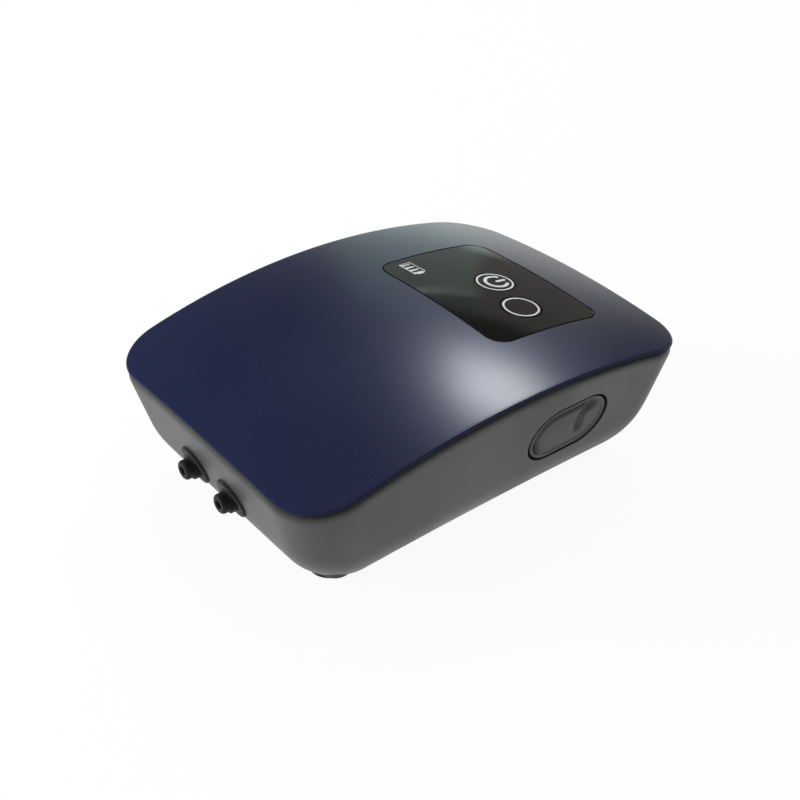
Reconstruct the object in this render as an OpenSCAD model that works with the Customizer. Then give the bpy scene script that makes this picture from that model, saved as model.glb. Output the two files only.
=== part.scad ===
// Rechargeable twin-outlet air pump for aquariums and ponds.
// Millimetres. +X runs from the outlet end to the far end, the charging port is on the -Y side, +Z is up.
// The origin is on the floor, under the middle of the housing.

/* [Housing] */
// Length of the tub outline at the reference height
plan_l = 127.9; // [126:0.1:132]
// Width of the tub outline at the reference height
plan_w = 94.8; // [93.5:0.1:98]
// Height above the floor at which that outline is measured
plan_z = 40.4; // [40:0.1:42]
// Height of the crown of the top cover above the floor
crown_z = 46.7; // [46.2:0.1:49]
// Radius of the top cover's arch along the length
arch_rx = 204; // [190:1:240]
// Radius of the top cover's arch across the width
arch_ry = 357; // [320:1:420]
// Plan radius of the housing corners at the reference height
corner_r = 14.9; // [13:0.1:17]
// Loss of corner radius for each millimetre that the walls run in
corner_taper = 0.37; // [0.3:0.01:0.42]
// Draft of the long walls, degrees
draft_side = 13; // [12:0.1:14]
// Draft of the end walls, degrees
draft_end = 13.4; // [12.5:0.1:14.5]
// Radius that turns the long walls under into the bottom
bilge_side = 19.7; // [18.5:0.1:20.5]
// Radius that turns the end walls under into the bottom
bilge_end = 25.1; // [24:0.1:26]
// Outward bow of the long walls in plan
side_bow = -0.85; // [-1:0.05:0]
// Outward bow of the end walls in plan
end_bow = 0.25; // [0:0.05:0.5]
// Height of the flat underside above the floor
belly_z = 1.2; // [1:0.1:1.5]
// Wall of the tub
wall_t = 2; // [1.8:0.1:2.2]
// Thickness of the top cover
cover_t = 2.4; // [2.3:0.1:2.6]
// Height of the top cover's edge that shows at the side
cover_edge = 1.5; // [1.4:0.1:1.8]
// Rounding of the top cover's upper edge
cover_round = 0.8; // [0.6:0.1:1.2]
// Rounding of the tub's rim, which shows as a narrow lip under the cover
rim_round = 1.1; // [0.8:0.1:1.2]

/* [Panel] */
// Middle of the panel along the length
panel_x = 27.8; // [26:0.1:28]
// Middle of the panel across the width
panel_y = -1.8; // [-2:0.1:0]
// Panel length along the slope of the cover
panel_l = 37; // [36:0.5:38]
// Panel width
panel_w = 50.5; // [50:0.5:52]
// Panel corner radius
panel_r = 5; // [4:0.5:6]
// Panel thickness
panel_t = 1.2; // [1:0.1:1.2]
// Diameter of the two keys
key_d = 11; // [10:0.5:11.5]
// How far a key goes down
key_travel = 0.4; // [0.3:0.1:0.5]

/* [Charging port] */
// Middle of the port along the length
port_x = 19.5; // [18.5:0.5:20.5]
// Height of the middle of the port
port_z = 25; // [24.5:0.1:25.5]
// Length of the port recess
port_l = 27; // [26.5:0.5:28]
// Height of the port recess along the wall
port_h = 17.4; // [17:0.2:18]
// Depth of the port block's back below the wall
port_deep = 9.4; // [9:0.2:10]

/* [Air outlets] */
// Distance between the two outlets
outlet_pitch = 16.9; // [16:0.1:17.5]
// Height of the outlets
outlet_z = 19.4; // [19:0.1:20]
// Outside diameter of an outlet, for 4/6 mm air hose
outlet_d = 5.2; // [5:0.1:5.4]
// Length of an outlet in front of its flange
outlet_l = 3.4; // [3.2:0.1:4]
// Diameter of an outlet's flange
flange_d = 11; // [10:0.5:11.5]
// How far the flange's face lies in front of the wall at the outlet's height
flange_out = 0.6; // [0.4:0.1:0.8]

/* [Pump] */
// Swing of the pump arms, degrees each way
arm_swing = 2.5; // [2:0.5:3]
// Distance from the middle plane to each pump arm
arm_y = 6; // [6:0.1:6.3]
// Height of the magnets' and coil's middle
drive_z = 17.5; // [17.3:0.1:18]
// Distance from the outlet end of the outline to the arm pivots
pivot_in = 20.95; // [20.45:0.05:21.45]
// Distance from an arm's pivot to the middle of its diaphragm
dia_arm = 16; // [15.5:0.1:16.5]
// Distance from the arm pivots to the core's pole faces
pole_arm = 32.5; // [32.4:0.1:33]

/* [Battery] */
// Diameter of a battery cell
cell_d = 18.3; // [18:0.1:18.4]
// Length of a battery cell
cell_l = 49.8; // [49:0.1:50]

/* [Hidden] */
$fn = 64;
// Clearances
seam = 0.1;
fit = 0.15;
slide = 0.25;
free = 0.3;
touch = 0.05;
// Outline sampling: steps in a corner, along a long wall and along an end wall
corner_n = 9;
side_n = 8;
end_n = 6;
// Tongue of the top cover inside the rim
tongue_t = 1.4;
tongue_h = 3;
// Panel frame
panel_tilt = asin(panel_x / arch_rx);
power_at = [3.2, 0.7];
pulse_at = [-0.3, -13.6];
bars_at = [-11, 15.9];
bar_l = 3.6;
bar_w = 1.2;
bar_pitch = 1.9;
bar_count = 4;
key_flange = 0.9;
key_flange_t = 0.9;
board_l = 34;
board_w = 46;
board_t = 1.2;
board_top = -10;
board_edge = 2.7;
board_post = [board_l / 2 - board_edge, board_w / 2 - board_edge];
post_d = 5;
switch_s = 6;
switch_h = 3.5;
switch_floor = 1;
plunger_d = 3.4;
plunger_top = -5.9;
plunger_z = board_top + switch_floor + key_travel + 2 * touch;
plug_h = 4;
plug_l = 7;
plug_w = 5;
chip_1 = [6, 5, 1.6];
chip_1_at = [8, 8];
chip_2 = [5, 5, 1.2];
chip_2_at = [7, -14];
can_at = [-6, 9];
can_d = 5;
can_h = 5;
// Port frame
port_y = -(plan_w / 2 - tan(draft_side) * (plan_z - port_z) + side_bow * (1 - pow(2 * port_x / plan_l, 2)));
block_z = wall_t + 0.2;
port_seat = block_z + 0.65;
flap_gap = 0.55;
flap_l = port_l - 2 * flap_gap;
flap_h = port_h - 2 * flap_gap;
flap_sink = 0.25;
flap_t = port_seat - slide - flap_sink;
flap_rim = 0.8;
flap_lip = 0.3;
dish_d = 0.9;
dish_w = 2.2;
scoop_d = 0.9;
scoop_w = 1.7;
scoop_r = 2.9;
scoop_at = [6.4, 0.4];
scoop_tilt = 6;
hinge_x = -flap_l / 2;
guide_in = 4;
guide_out = 5;
guide_w = 3;
guide_from = -141;
guide_to = -30;
guide_wall = 1.2;
pocket_l = 13.6;
pocket_h = 7.6;
pocket_r = 2;
pocket_floor = 1;
block_rim = 2.6;
socket_l = 9;
socket_h = 3.2;
socket_d = 7.4;
socket_wall = 0.3;
cboard_l = 18;
cboard_d = 10;
cboard_t = 1.2;
// Air outlets
wall_end_x = plan_l / 2 - tan(draft_end) * (plan_z - outlet_z) + end_bow;
flange_x = -(wall_end_x + flange_out);
flange_t = 3;
flange_lean = 3;
flange_tilt = draft_end + flange_lean;
outlet_bore = 2.4;
tail_r = 2;
tail_l = 6.3;
collar_w = 1;
collar_l = 2;
root_w = 0.6;
root_l = tan(flange_tilt) * (outlet_d / 2 + root_w) + touch;
tail_x = flange_x + tail_l;
hose_r = 3.2;
hose_bore = 2.15;
hose_n = 10;
hose_sides = 12;
// Housing screws and posts
post_in = [17.45, 14.4];
post_x = plan_l / 2 - post_in.x;
post_y = plan_w / 2 - post_in.y;
post_r = 4;
boss_r = 3.5;
split_z = 24;
head_z = 11;
head_r = 2.9;
head_h = 2;
shank_r = 1.45;
pilot_r = 1.2;
screw_up = 10;
// Small screws of the board, the core strap and the valve chambers
mini_r = 0.75;
mini_pilot = 0.8;
mini_hole = 1.1;
mini_head_r = 1.9;
mini_head_h = 1.2;
// Feet
foot_in = [21.95, 23.2];
foot_x = plan_l / 2 - foot_in.x;
foot_y = plan_w / 2 - foot_in.y;
foot_r = 5.5;
foot_peg_r = 2;
foot_peg_z = 5.4;
foot_pad_z = 6.1;
// Pump: pivots, diaphragms and poles along the length
pivot_x = pivot_in - plan_l / 2;
dia_x = pivot_x + dia_arm;
pole_x = pivot_x + pole_arm;
// Air intake
intake_x = pole_x + 0.5;
slot_l = 12;
slot_w = 1.6;
slot_pitch = 3.2;
slot_count = 4;
filter_l = 16;
filter_w = 15;
filter_h = 2.4;
// Pump frame
floor_z = belly_z + wall_t;
frame_z = floor_z + 3.2;
frame_t = 2;
deck_z = frame_z + frame_t;
frame_x0 = pivot_x + 2;
frame_x1 = pole_x + 20.5;
frame_hw = 25;
iso_at = [[pivot_x + 7, 12.5], [pole_x + 15.5, 21]];
iso_r = 3.5;
iso_neck = 1.8;
// Coil
stack_h = 12;
leg_mid = 6;
window = 6;
leg_out = 4.5;
leg_l = 14;
yoke_t = 4.5;
core_hw = leg_mid / 2 + window + leg_out;
core_z0 = drive_z - stack_h / 2;
yoke_x = pole_x + leg_l;
bobbin_in = 0.6;
bobbin_wall = 0.8;
bobbin_flange = 0.8;
bobbin_hw = leg_mid / 2 + window - 0.3;
bobbin_hh = 11;
strap_w = 4;
strap_t = 1;
strap_screw = core_hw + 3.4;
// Arms
arm_t = 2.4;
arm_h = 10;
eye_r = 3.2;
bush_r = 2.4;
pivot_r = 1.5;
magnet_t = 3.8;
magnet_w = 8;
magnet_h = 12;
magnet_gap = 1.5 + magnet_w / 2 * sin(arm_swing);
holder_t = 1.5;
bridge_t = 1.5;
bridge_l = 6;
bridge_end = 3.5;
// Diaphragms and valve chambers
cup_r = 8.95;
cup_t = 1;
cup_face = 2;
rim_tube = 8.2;
rim_bore = 6.8;
chamber_y = 13;
chamber_d = 12;
chamber_l = 22;
chamber_top = 27;
chamber_screw = 8.5;
valve_y = chamber_y + 1.5;
valve_wall = 1.5;
valve_at = 4;
cover_plate = 1.5;
spigot_y = 16;
spigot_l = 3.4;
stud_r = 1.2;
// Battery
cell_in = 24.35;
cell_gap = 0.7;
cell_x = [plan_l / 2 - cell_in - cell_d - cell_gap, plan_l / 2 - cell_in];
cell_z = 15.6;
cradle_out = 3.4;
cradle_x0 = cell_x[0] - cell_d / 2 + touch;
cradle_x1 = cell_x[1] + cradle_out;
bevel_in = 4;
bevel_tilt = 35;
cradle_t = 1.8;
saddle_y = 17;
saddle_t = 4;
saddle_z = 11.5;
tab_t = 0.3;
tab_h = 6;
tab_over = 4;
wire_r = 0.7;
wire_n = 12;
wire_sides = 8;

// Inset of the wall from the reference outline at height z, for a skin w inside the outer one
function inset(z, draft, bilge, w) =
    let (turn_z = bilge * (1 - sin(draft)),
         mid = tan(draft) * (plan_z - turn_z) + bilge * cos(draft),
         q = bilge - w,
         start_z = bilge - q * sin(draft))
    z >= start_z ? tan(draft) * (plan_z - z) + w / cos(draft)
        : mid - sqrt(max(0, q * q - pow(bilge - z, 2)));

// Height of the crowned top surface above a plan point
function crown(p) =
    crown_z - arch_ry + sqrt(pow(arch_ry - arch_rx + sqrt(arch_rx * arch_rx - p.x * p.x), 2) - p.y * p.y);

// One record for each outline point: corner signs, angle, next corner's signs, share of the way there
signs = [[1, -1], [1, 1], [-1, 1], [-1, -1]];
outline = [for (k = [0 : 3])
    let (m = k % 2 == 0 ? end_n : side_n)
    each concat(
        [for (i = [0 : corner_n]) [signs[k], -90 + 90 * k + 90 * i / corner_n, signs[k], 0]],
        [for (i = [1 : m - 1]) [signs[k], 90 * k, signs[(k + 1) % 4], i / m]])];

// Plan point of an outline record at height z
function plan_pt(o, z, w) =
    let (a = plan_l / 2 - inset(z, draft_end, bilge_end, w),
         b = plan_w / 2 - inset(z, draft_side, bilge_side, w),
         run = (inset(z, draft_end, bilge_end, 0) + inset(z, draft_side, bilge_side, 0)) / 2,
         r = corner_r - corner_taper * run - w,
         s = o[0] * (1 - o[3]) + o[2] * o[3],
         x = s.x * (a - r) + r * cos(o[1]),
         y = s.y * (b - r) + r * sin(o[1]))
    [x + end_bow * (1 - pow(y / b, 2)) * x / a, y + side_bow * (1 - pow(x / a, 2)) * y / b];

// Height at which the wall reaches the crowned surface lowered by drop
function edge_z(o, drop, w, n = 6, z = plan_z) =
    n == 0 ? z : edge_z(o, drop, w, n - 1, crown(plan_pt(o, z, w)) - drop);

function at_z(o, z, w) = [plan_pt(o, z, w).x, plan_pt(o, z, w).y, z];
function edge_ring(drop, w) = [for (o = outline) at_z(o, edge_z(o, drop, w), w)];
function wall_ring(share, z0, drop, w) =
    [for (o = outline) at_z(o, z0 + (edge_z(o, drop, w) - z0) * share, w)];
function crown_ring(share, drop, w) =
    [for (o = outline)
        let (p = plan_pt(o, edge_z(o, drop, w), w) * share)
        [p.x, p.y, crown(p) - drop]];

// Closed skin through rings of equal length; each end is a flat lid, or a fan to a point
module skin(rings, first = undef, last = undef) {
    n = len(rings[0]);
    m = len(rings);
    points = concat([for (r = rings) each r], first == undef ? [] : [first], last == undef ? [] : [last]);
    tip0 = n * m;
    tip1 = n * m + (first == undef ? 0 : 1);
    sides = [for (i = [0 : m - 2], j = [0 : n - 1])
        let (k = (j + 1) % n)
        each [[i * n + j, (i + 1) * n + j, (i + 1) * n + k], [i * n + j, (i + 1) * n + k, i * n + k]]];
    start = first == undef ? [[for (j = [0 : n - 1]) j]] : [for (j = [0 : n - 1]) [tip0, j, (j + 1) % n]];
    end = last == undef ? [[for (j = [n - 1 : -1 : 0]) (m - 1) * n + j]]
        : [for (j = [0 : n - 1]) [(m - 1) * n + j, tip1, (m - 1) * n + (j + 1) % n]];
    polyhedron(points, concat(start, sides, end), convexity = 6);
}

rim_drop = cover_edge + seam;
climb = [0, 0.025, 0.07, 0.13, 0.21, 0.31, 0.45, 0.7];

// Tub wall with its open top
module tub_skin() {
    outer = [for (s = climb) wall_ring(s, belly_z, rim_drop + rim_round, 0)];
    rim = [for (a = [0, 30, 60, 90])
        edge_ring(rim_drop + rim_round * (1 - sin(a)), rim_round * (1 - cos(a)))];
    inner = [for (i = [len(climb) - 1 : -1 : 0]) wall_ring(climb[i], floor_z, rim_drop, wall_t)];
    skin(concat(outer, rim, [edge_ring(rim_drop, wall_t)], inner));
}

// Solid filled tub, its skin w inside the outer one
module tub_solid(w) {
    skin(concat([for (s = climb) wall_ring(s, belly_z + w, rim_drop + 1, w)], [edge_ring(rim_drop + 1, w)]),
        last = [0, 0, crown([0, 0]) - rim_drop - 1]);
}

// Crowned top cover with its tongue
module cover_skin() {
    tw = wall_t + fit;
    ti = tw + tongue_t;
    ceiling = [for (s = [0.3, 0.6, 0.85]) crown_ring(s, cover_t, ti)];
    under = [edge_ring(cover_t, ti),
        edge_ring(rim_drop + tongue_h, ti),
        edge_ring(rim_drop + tongue_h, tw),
        edge_ring(cover_edge, tw),
        edge_ring(cover_edge, 0)];
    edge = [for (a = [0, 30, 60, 90]) edge_ring(cover_round * (1 - sin(a)), cover_round * (1 - cos(a)))];
    top = [for (s = [0.96, 0.88, 0.72, 0.48, 0.22]) crown_ring(s, 0, cover_round)];
    skin(concat(ceiling, under, edge, top), first = [0, 0, crown_z - cover_t], last = [0, 0, crown_z]);
}

// Solid under the crowned surface lowered by drop, wide enough for the panel
module crown_solid(drop) {
    wide = 8;
    deep = 30;
    translate([0, 0, crown_z - arch_ry])
        rotate([0, -90, 0])
            rotate([0, 0, -wide])
                rotate_extrude(angle = 2 * wide, $fn = 1440)
                    intersection() {
                        translate([arch_ry - arch_rx, 0])
                            circle(r = arch_rx - drop, $fn = 1440);
                        translate([arch_ry - deep, -plan_l / 2])
                            square([2 * deep, plan_l]);
                    }
}

module at_panel() {
    translate([panel_x, panel_y, crown([panel_x, panel_y])])
        rotate([0, panel_tilt, 0])
            children();
}

module at_port() {
    translate([port_x, port_y, port_z])
        rotate([90 + draft_side, 0, 0])
            children();
}

module at_corners(x, y) {
    for (sx = [-1, 1], sy = [-1, 1])
        translate([sx * x, sy * y, 0])
            children();
}

module round_rect(l, w, r) {
    square([l - 2 * r, w], center = true);
    square([l, w - 2 * r], center = true);
    for (sx = [-1, 1], sy = [-1, 1])
        translate([sx * (l / 2 - r), sy * (w / 2 - r)])
            circle(r = r);
}

module stadium(l, w) {
    square([l - w, w], center = true);
    for (sx = [-1, 1])
        translate([sx * (l - w) / 2, 0])
            circle(d = w);
}

// Points on a curve from the first of four points to the last, drawn toward the two between
function curve(p, n) =
    [for (i = [0 : n])
        let (t = i / n)
        p[0] * pow(1 - t, 3) + 3 * p[1] * t * pow(1 - t, 2) + 3 * p[2] * t * t * (1 - t) + p[3] * pow(t, 3)];

// Round bar swept along a route; the route never runs along dir
module sweep(route, r, sides, dir) {
    n = len(route) - 1;
    skin([for (i = [0 : n])
        let (d = route[min(i + 1, n)] - route[max(i - 1, 0)],
             h = d / norm(d),
             c = cross(dir, h),
             u = c / norm(c),
             v = cross(h, u))
        [for (k = [0 : sides - 1])
            route[i] + r * (u * cos(360 * k / sides) + v * sin(360 * k / sides))]]);
}

module wire(p) {
    sweep(curve(p, wire_n), wire_r, wire_sides, [1, 0, 0]);
}

// Point of the panel frame, or of the port frame, in housing coordinates
function panel_pt(p) =
    [panel_x + p.x * cos(panel_tilt) + p.z * sin(panel_tilt), panel_y + p.y,
     crown([panel_x, panel_y]) - p.x * sin(panel_tilt) + p.z * cos(panel_tilt)];
function port_pt(p) =
    [port_x + p.x, port_y - p.y * sin(draft_side) - p.z * cos(draft_side),
     port_z + p.y * cos(draft_side) - p.z * sin(draft_side)];

// Posts, pads and seats inside the tub, trimmed to the wall where they are joined to it
module tub_inside() {
    at_corners(post_x, post_y)
        cylinder(h = split_z, r = post_r);
    at_corners(foot_x, foot_y)
        cylinder(h = foot_pad_z, r = foot_peg_r + 2);
    for (sy = [-1, 1])
        translate([flange_x, sy * outlet_pitch / 2, outlet_z])
            rotate([0, 90, 0])
                cylinder(h = flange_t + 2, d = flange_d + 3);
}

module base_housing() {
    color("dimgray")
        difference() {
            union() {
                tub_skin();
                intersection() {
                    tub_inside();
                    tub_solid(0.4);
                }
            }
            at_corners(post_x, post_y) {
                translate([0, 0, -1])
                    cylinder(h = head_z + 1, r = head_r + slide);
                cylinder(h = split_z + 1, r = shank_r + slide);
            }
            at_corners(foot_x, foot_y)
                cylinder(h = foot_peg_z + touch, r = foot_peg_r + touch);
            at_port()
                translate([0, 0, -2 * wall_t])
                    linear_extrude(4 * wall_t)
                        stadium(port_l, port_h);
            for (sy = [-1, 1]) {
                at_outlet(sy, flange_tilt)
                    translate([0, 0, -flange_t - touch])
                        cylinder(h = flange_t + 3, d = flange_d + 2 * touch);
                at_outlet(sy, 0)
                    translate([0, 0, -2 * flange_t - collar_l])
                        cylinder(h = 2 * flange_t + collar_l, r = tail_r + collar_w + touch);
            }
            for (i = [0 : slot_count - 1])
                translate([intake_x, (i - (slot_count - 1) / 2) * slot_pitch, 0])
                    linear_extrude(floor_z + 1)
                        stadium(slot_l, slot_w);
        }
}

module top_cover() {
    color("midnightblue")
        difference() {
            union() {
                cover_skin();
                at_panel()
                    for (sx = [-1, 1], sy = [-1, 1])
                        translate([sx * board_post.x, sy * board_post.y, board_top])
                            cylinder(h = -board_top - panel_t - 1.6, d = post_d);
                at_corners(post_x, post_y)
                    translate([0, 0, split_z + touch])
                        cylinder(h = crown([post_x, post_y]) - split_z - 1.4, r = boss_r);
            }
            difference() {
                at_panel()
                    translate([0, 0, -8])
                        linear_extrude(16)
                            round_rect(panel_l + 2 * fit, panel_w + 2 * fit, panel_r + fit);
                crown_solid(panel_t + touch);
            }
            at_panel() {
                for (p = [power_at, pulse_at])
                    translate([p.x, p.y, -8])
                        cylinder(h = 10, d = key_d + 2 * slide);
                for (i = [0 : bar_count - 1])
                    translate([bars_at.x - bar_l / 2 - fit, bars_at.y + i * bar_pitch - bar_w / 2 - fit, -8])
                        cube([bar_l + 2 * fit, bar_w + 2 * fit, 10]);
                for (sx = [-1, 1], sy = [-1, 1])
                    translate([sx * board_post.x, sy * board_post.y, board_top - 1])
                        cylinder(h = 6.5, r = mini_pilot);
            }
            at_corners(post_x, post_y)
                translate([0, 0, split_z - 1])
                    cylinder(h = screw_up + 2, r = pilot_r);
        }
}

module panel_lens() {
    color([0.08, 0.08, 0.09])
        difference() {
            intersection() {
                at_panel()
                    translate([0, 0, -8])
                        linear_extrude(12)
                            round_rect(panel_l, panel_w, panel_r);
                difference() {
                    crown_solid(0);
                    crown_solid(panel_t);
                }
            }
            at_panel() {
                for (p = [power_at, pulse_at])
                    translate([p.x, p.y, -8])
                        cylinder(h = 12, d = key_d + 2 * slide);
                for (i = [0 : bar_count - 1])
                    translate([bars_at.x - bar_l / 2 - fit, bars_at.y + i * bar_pitch - bar_w / 2 - fit, -8])
                        cube([bar_l + 2 * fit, bar_w + 2 * fit, 12]);
            }
        }
}

// Light bars just under the panel's surface, which falls away from its middle
module level_bars() {
    below = 0.15;
    color("white")
        at_panel()
            for (i = [0 : bar_count - 1]) {
                y = bars_at.y + i * bar_pitch;
                fall = pow(bars_at.x, 2) / (2 * arch_rx) + pow(y, 2) / (2 * arch_ry);
                translate([bars_at.x - bar_l / 2, y - bar_w / 2, -panel_t - cover_t])
                    cube([bar_l, bar_w, panel_t + cover_t - fall - below]);
            }
}

// Key cap with a retaining flange below the cover and a stem for its switch
module key_cap(p) {
    flange_top = -cover_t - 3 * free;
    difference() {
        intersection() {
            at_panel()
                translate([p.x, p.y, 0]) {
                    translate([0, 0, flange_top - key_flange_t])
                        cylinder(h = 8, d = key_d);
                    translate([0, 0, flange_top - key_flange_t])
                        cylinder(h = key_flange_t, d = key_d + 2 * key_flange);
                    translate([0, 0, plunger_top + touch])
                        cylinder(h = flange_top - plunger_top, d = plunger_d + 1);
                }
            crown_solid(0);
        }
        at_panel()
            translate([p.x, p.y, flange_top - key_flange_t - 1])
                difference() {
                    cylinder(h = 2.6, d = key_d - 3);
                    cylinder(h = 2.6, d = plunger_d + 1);
                }
    }
}

module power_key() {
    color([0.1, 0.1, 0.11])
        key_cap(power_at);
}

module pulse_key() {
    color([0.1, 0.1, 0.11])
        key_cap(pulse_at);
}

module plunger(p) {
    at_panel()
        translate([p.x, p.y, plunger_z])
            cylinder(h = plunger_top - plunger_z, d = plunger_d);
}

module power_plunger() {
    color("ivory")
        plunger(power_at);
}

module pulse_plunger() {
    color("ivory")
        plunger(pulse_at);
}

module control_board() {
    color("darkgreen")
        at_panel()
            difference() {
                translate([0, 0, board_top - board_t])
                    linear_extrude(board_t - touch)
                        round_rect(board_l, board_w, 2);
                for (sx = [-1, 1], sy = [-1, 1])
                    translate([sx * board_post.x, sy * board_post.y, board_top - board_t - 1])
                        cylinder(h = board_t + 2, r = mini_hole);
            }
}

module key_switches() {
    color("darkslategray")
        at_panel()
            for (p = [power_at, pulse_at])
                translate([p.x, p.y, board_top])
                    difference() {
                        translate([-switch_s / 2, -switch_s / 2, 0])
                            cube([switch_s, switch_s, switch_h]);
                        translate([0, 0, switch_floor])
                            cylinder(h = switch_h, d = plunger_d + 2 * slide);
                    }
}

module level_leds() {
    led_h = 1.2;
    color("gold")
        at_panel()
            for (i = [0 : bar_count - 1])
                translate([bars_at.x - 0.5, bars_at.y + i * bar_pitch - 0.6, board_top])
                    cube([2, 1.2, led_h]);
}

// Chips on top and wire plugs below the control board
plugs = [[-7, 18.5], [-13, -10], [-4, -19.5]];
module board_parts() {
    color("black")
        at_panel() {
            translate([chip_1_at.x, chip_1_at.y, board_top])
                cube(chip_1);
            translate([chip_2_at.x, chip_2_at.y, board_top])
                cube(chip_2);
            translate([can_at.x, can_at.y, board_top])
                cylinder(h = can_h, d = can_d);
        }
    color("ivory")
        at_panel()
            for (p = plugs)
                translate([p.x - plug_l / 2, p.y - plug_w / 2, board_top - board_t - plug_h])
                    cube([plug_l, plug_w, plug_h]);
}

module board_screws() {
    color("silver")
        at_panel()
            for (sx = [-1, 1], sy = [-1, 1])
                translate([sx * board_post.x, sy * board_post.y, board_top - board_t - touch]) {
                    translate([0, 0, -mini_head_h])
                        cylinder(h = mini_head_h, r = mini_head_r);
                    translate([0, 0, -0.1])
                        cylinder(h = board_t + 5, r = mini_r);
                }
}

// Curved bar about the edge the flap swings on, wider by the clearance c on all sides
module guide_arc(c = 0) {
    turn = c / guide_in * 57.3;
    translate([hinge_x, 0, 0])
        rotate([90, 0, 0])
            rotate([0, 0, guide_from - turn])
                rotate_extrude(angle = guide_to - guide_from + turn)
                    translate([guide_in - c, -guide_w / 2 - c])
                        square([guide_out - guide_in + 2 * c, guide_w + 2 * c]);
}

// Block behind the wall: seat and curved guide of the flap, plug pocket, rails of the charging board
module port_block() {
    rail_w = 2.5;
    rail_h = 2;
    reach = guide_out + guide_wall;
    color([0.12, 0.12, 0.12])
        at_port()
            difference() {
                union() {
                    translate([0, 0, -port_deep])
                        linear_extrude(port_deep - block_z)
                            stadium(port_l + 2 * block_rim, port_h + 2 * block_rim);
                    translate([hinge_x - reach, -guide_w / 2 - guide_wall, -reach])
                        cube([reach, guide_w + 2 * guide_wall, reach - block_z]);
                    for (sx = [-1, 1])
                        translate([sx * (cboard_l / 2 - rail_w) - rail_w / 2,
                            -socket_h / 2 - cboard_t - rail_h, -port_deep - cboard_d])
                            cube([rail_w, rail_h, cboard_d + 1]);
                }
                translate([0, 0, -port_seat])
                    linear_extrude(port_seat)
                        stadium(port_l, port_h);
                guide_arc(fit);
                translate([0, 0, pocket_floor - port_deep])
                    linear_extrude(port_deep)
                        round_rect(pocket_l, pocket_h, pocket_r);
                translate([0, 0, -port_deep - 1])
                    linear_extrude(port_deep)
                        stadium(socket_l + 2 * fit, socket_h + 2 * fit);
            }
}

// Half section of the flap's dish: flat floor with an arc up to the rim
module dish_half(r) {
    arc = (dish_w * dish_w + dish_d * dish_d) / (2 * dish_d);
    square([r - dish_w, dish_d + 1]);
    intersection() {
        translate([r - dish_w, arc])
            circle(r = arc);
        translate([r - dish_w, 0])
            square([dish_w, dish_d]);
    }
    translate([r - dish_w - 1, dish_d])
        square([dish_w + 1, 1]);
}

module flap_dish() {
    r = flap_h / 2 - flap_rim;
    mid = (flap_l - flap_h) / 2;
    for (sx = [-1, 1])
        translate([sx * mid, 0, 0])
            rotate_extrude()
                dish_half(r);
    rotate([90, 0, 90])
        translate([0, 0, -mid])
            linear_extrude(2 * mid) {
                dish_half(r);
                mirror([1, 0])
                    dish_half(r);
            }
}

// Half section of the finger scoop: flat floor with an edge that is rolled over
module scoop_half() {
    arc = (scoop_w * scoop_w + scoop_d * scoop_d) / (2 * scoop_d);
    difference() {
        square([scoop_r + scoop_w, scoop_d + dish_d + 1]);
        translate([scoop_r + scoop_w, scoop_d - arc])
            circle(r = arc);
    }
}

// Arch-shaped finger scoop, open toward the flap's lower rim
module flap_scoop() {
    low = flap_h / 2 - flap_rim - dish_w + scoop_at.y;
    translate([scoop_at.x, scoop_at.y + scoop_r, 0])
        rotate([-scoop_tilt, 0, 0])
            translate([0, -scoop_r, 0]) {
                rotate_extrude(angle = 180)
                    scoop_half();
                rotate([90, 0, 0])
                    linear_extrude(low) {
                        scoop_half();
                        mirror([1, 0])
                            scoop_half();
                    }
            }
}

// Cover flap with a narrow rim, a dished face, a finger scoop and the curved guide bar
module port_cover() {
    color([0.3, 0.3, 0.31])
        at_port()
            difference() {
                union() {
                    translate([0, 0, -flap_sink - flap_t])
                        linear_extrude(flap_t)
                            stadium(flap_l, flap_h);
                    translate([0, 0, -flap_sink - flap_t - flap_lip])
                        linear_extrude(flap_lip + 0.1)
                            difference() {
                                round_rect(pocket_l - 1.2, pocket_h - 0.8, pocket_r - 0.4);
                                round_rect(pocket_l - 3.2, pocket_h - 2.8, 1);
                            }
                    guide_arc();
                }
                translate([0, 0, -flap_sink - dish_d])
                    flap_dish();
                translate([0, 0, -flap_sink - dish_d - scoop_d])
                    flap_scoop();
            }
}

module charge_socket() {
    color("silver")
        at_port()
            translate([0, 0, pocket_floor - port_deep - socket_d])
                difference() {
                    linear_extrude(socket_d)
                        stadium(socket_l, socket_h);
                    translate([0, 0, 1])
                        linear_extrude(socket_d)
                            difference() {
                                stadium(socket_l - 2 * socket_wall, socket_h - 2 * socket_wall);
                                square([6.7, 0.7], center = true);
                            }
                }
}

module charge_board() {
    color("darkgreen")
        at_port()
            translate([-cboard_l / 2, -socket_h / 2 - cboard_t + touch, -port_deep - cboard_d])
                cube([cboard_l, cboard_t - 2 * touch, cboard_d - touch]);
}

// Frame of an outlet, pointing out of the end wall and turned down by tilt
module at_outlet(side, tilt) {
    translate([flange_x, side * outlet_pitch / 2, outlet_z])
        rotate([0, -90 - tilt, 0])
            children();
}

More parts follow.
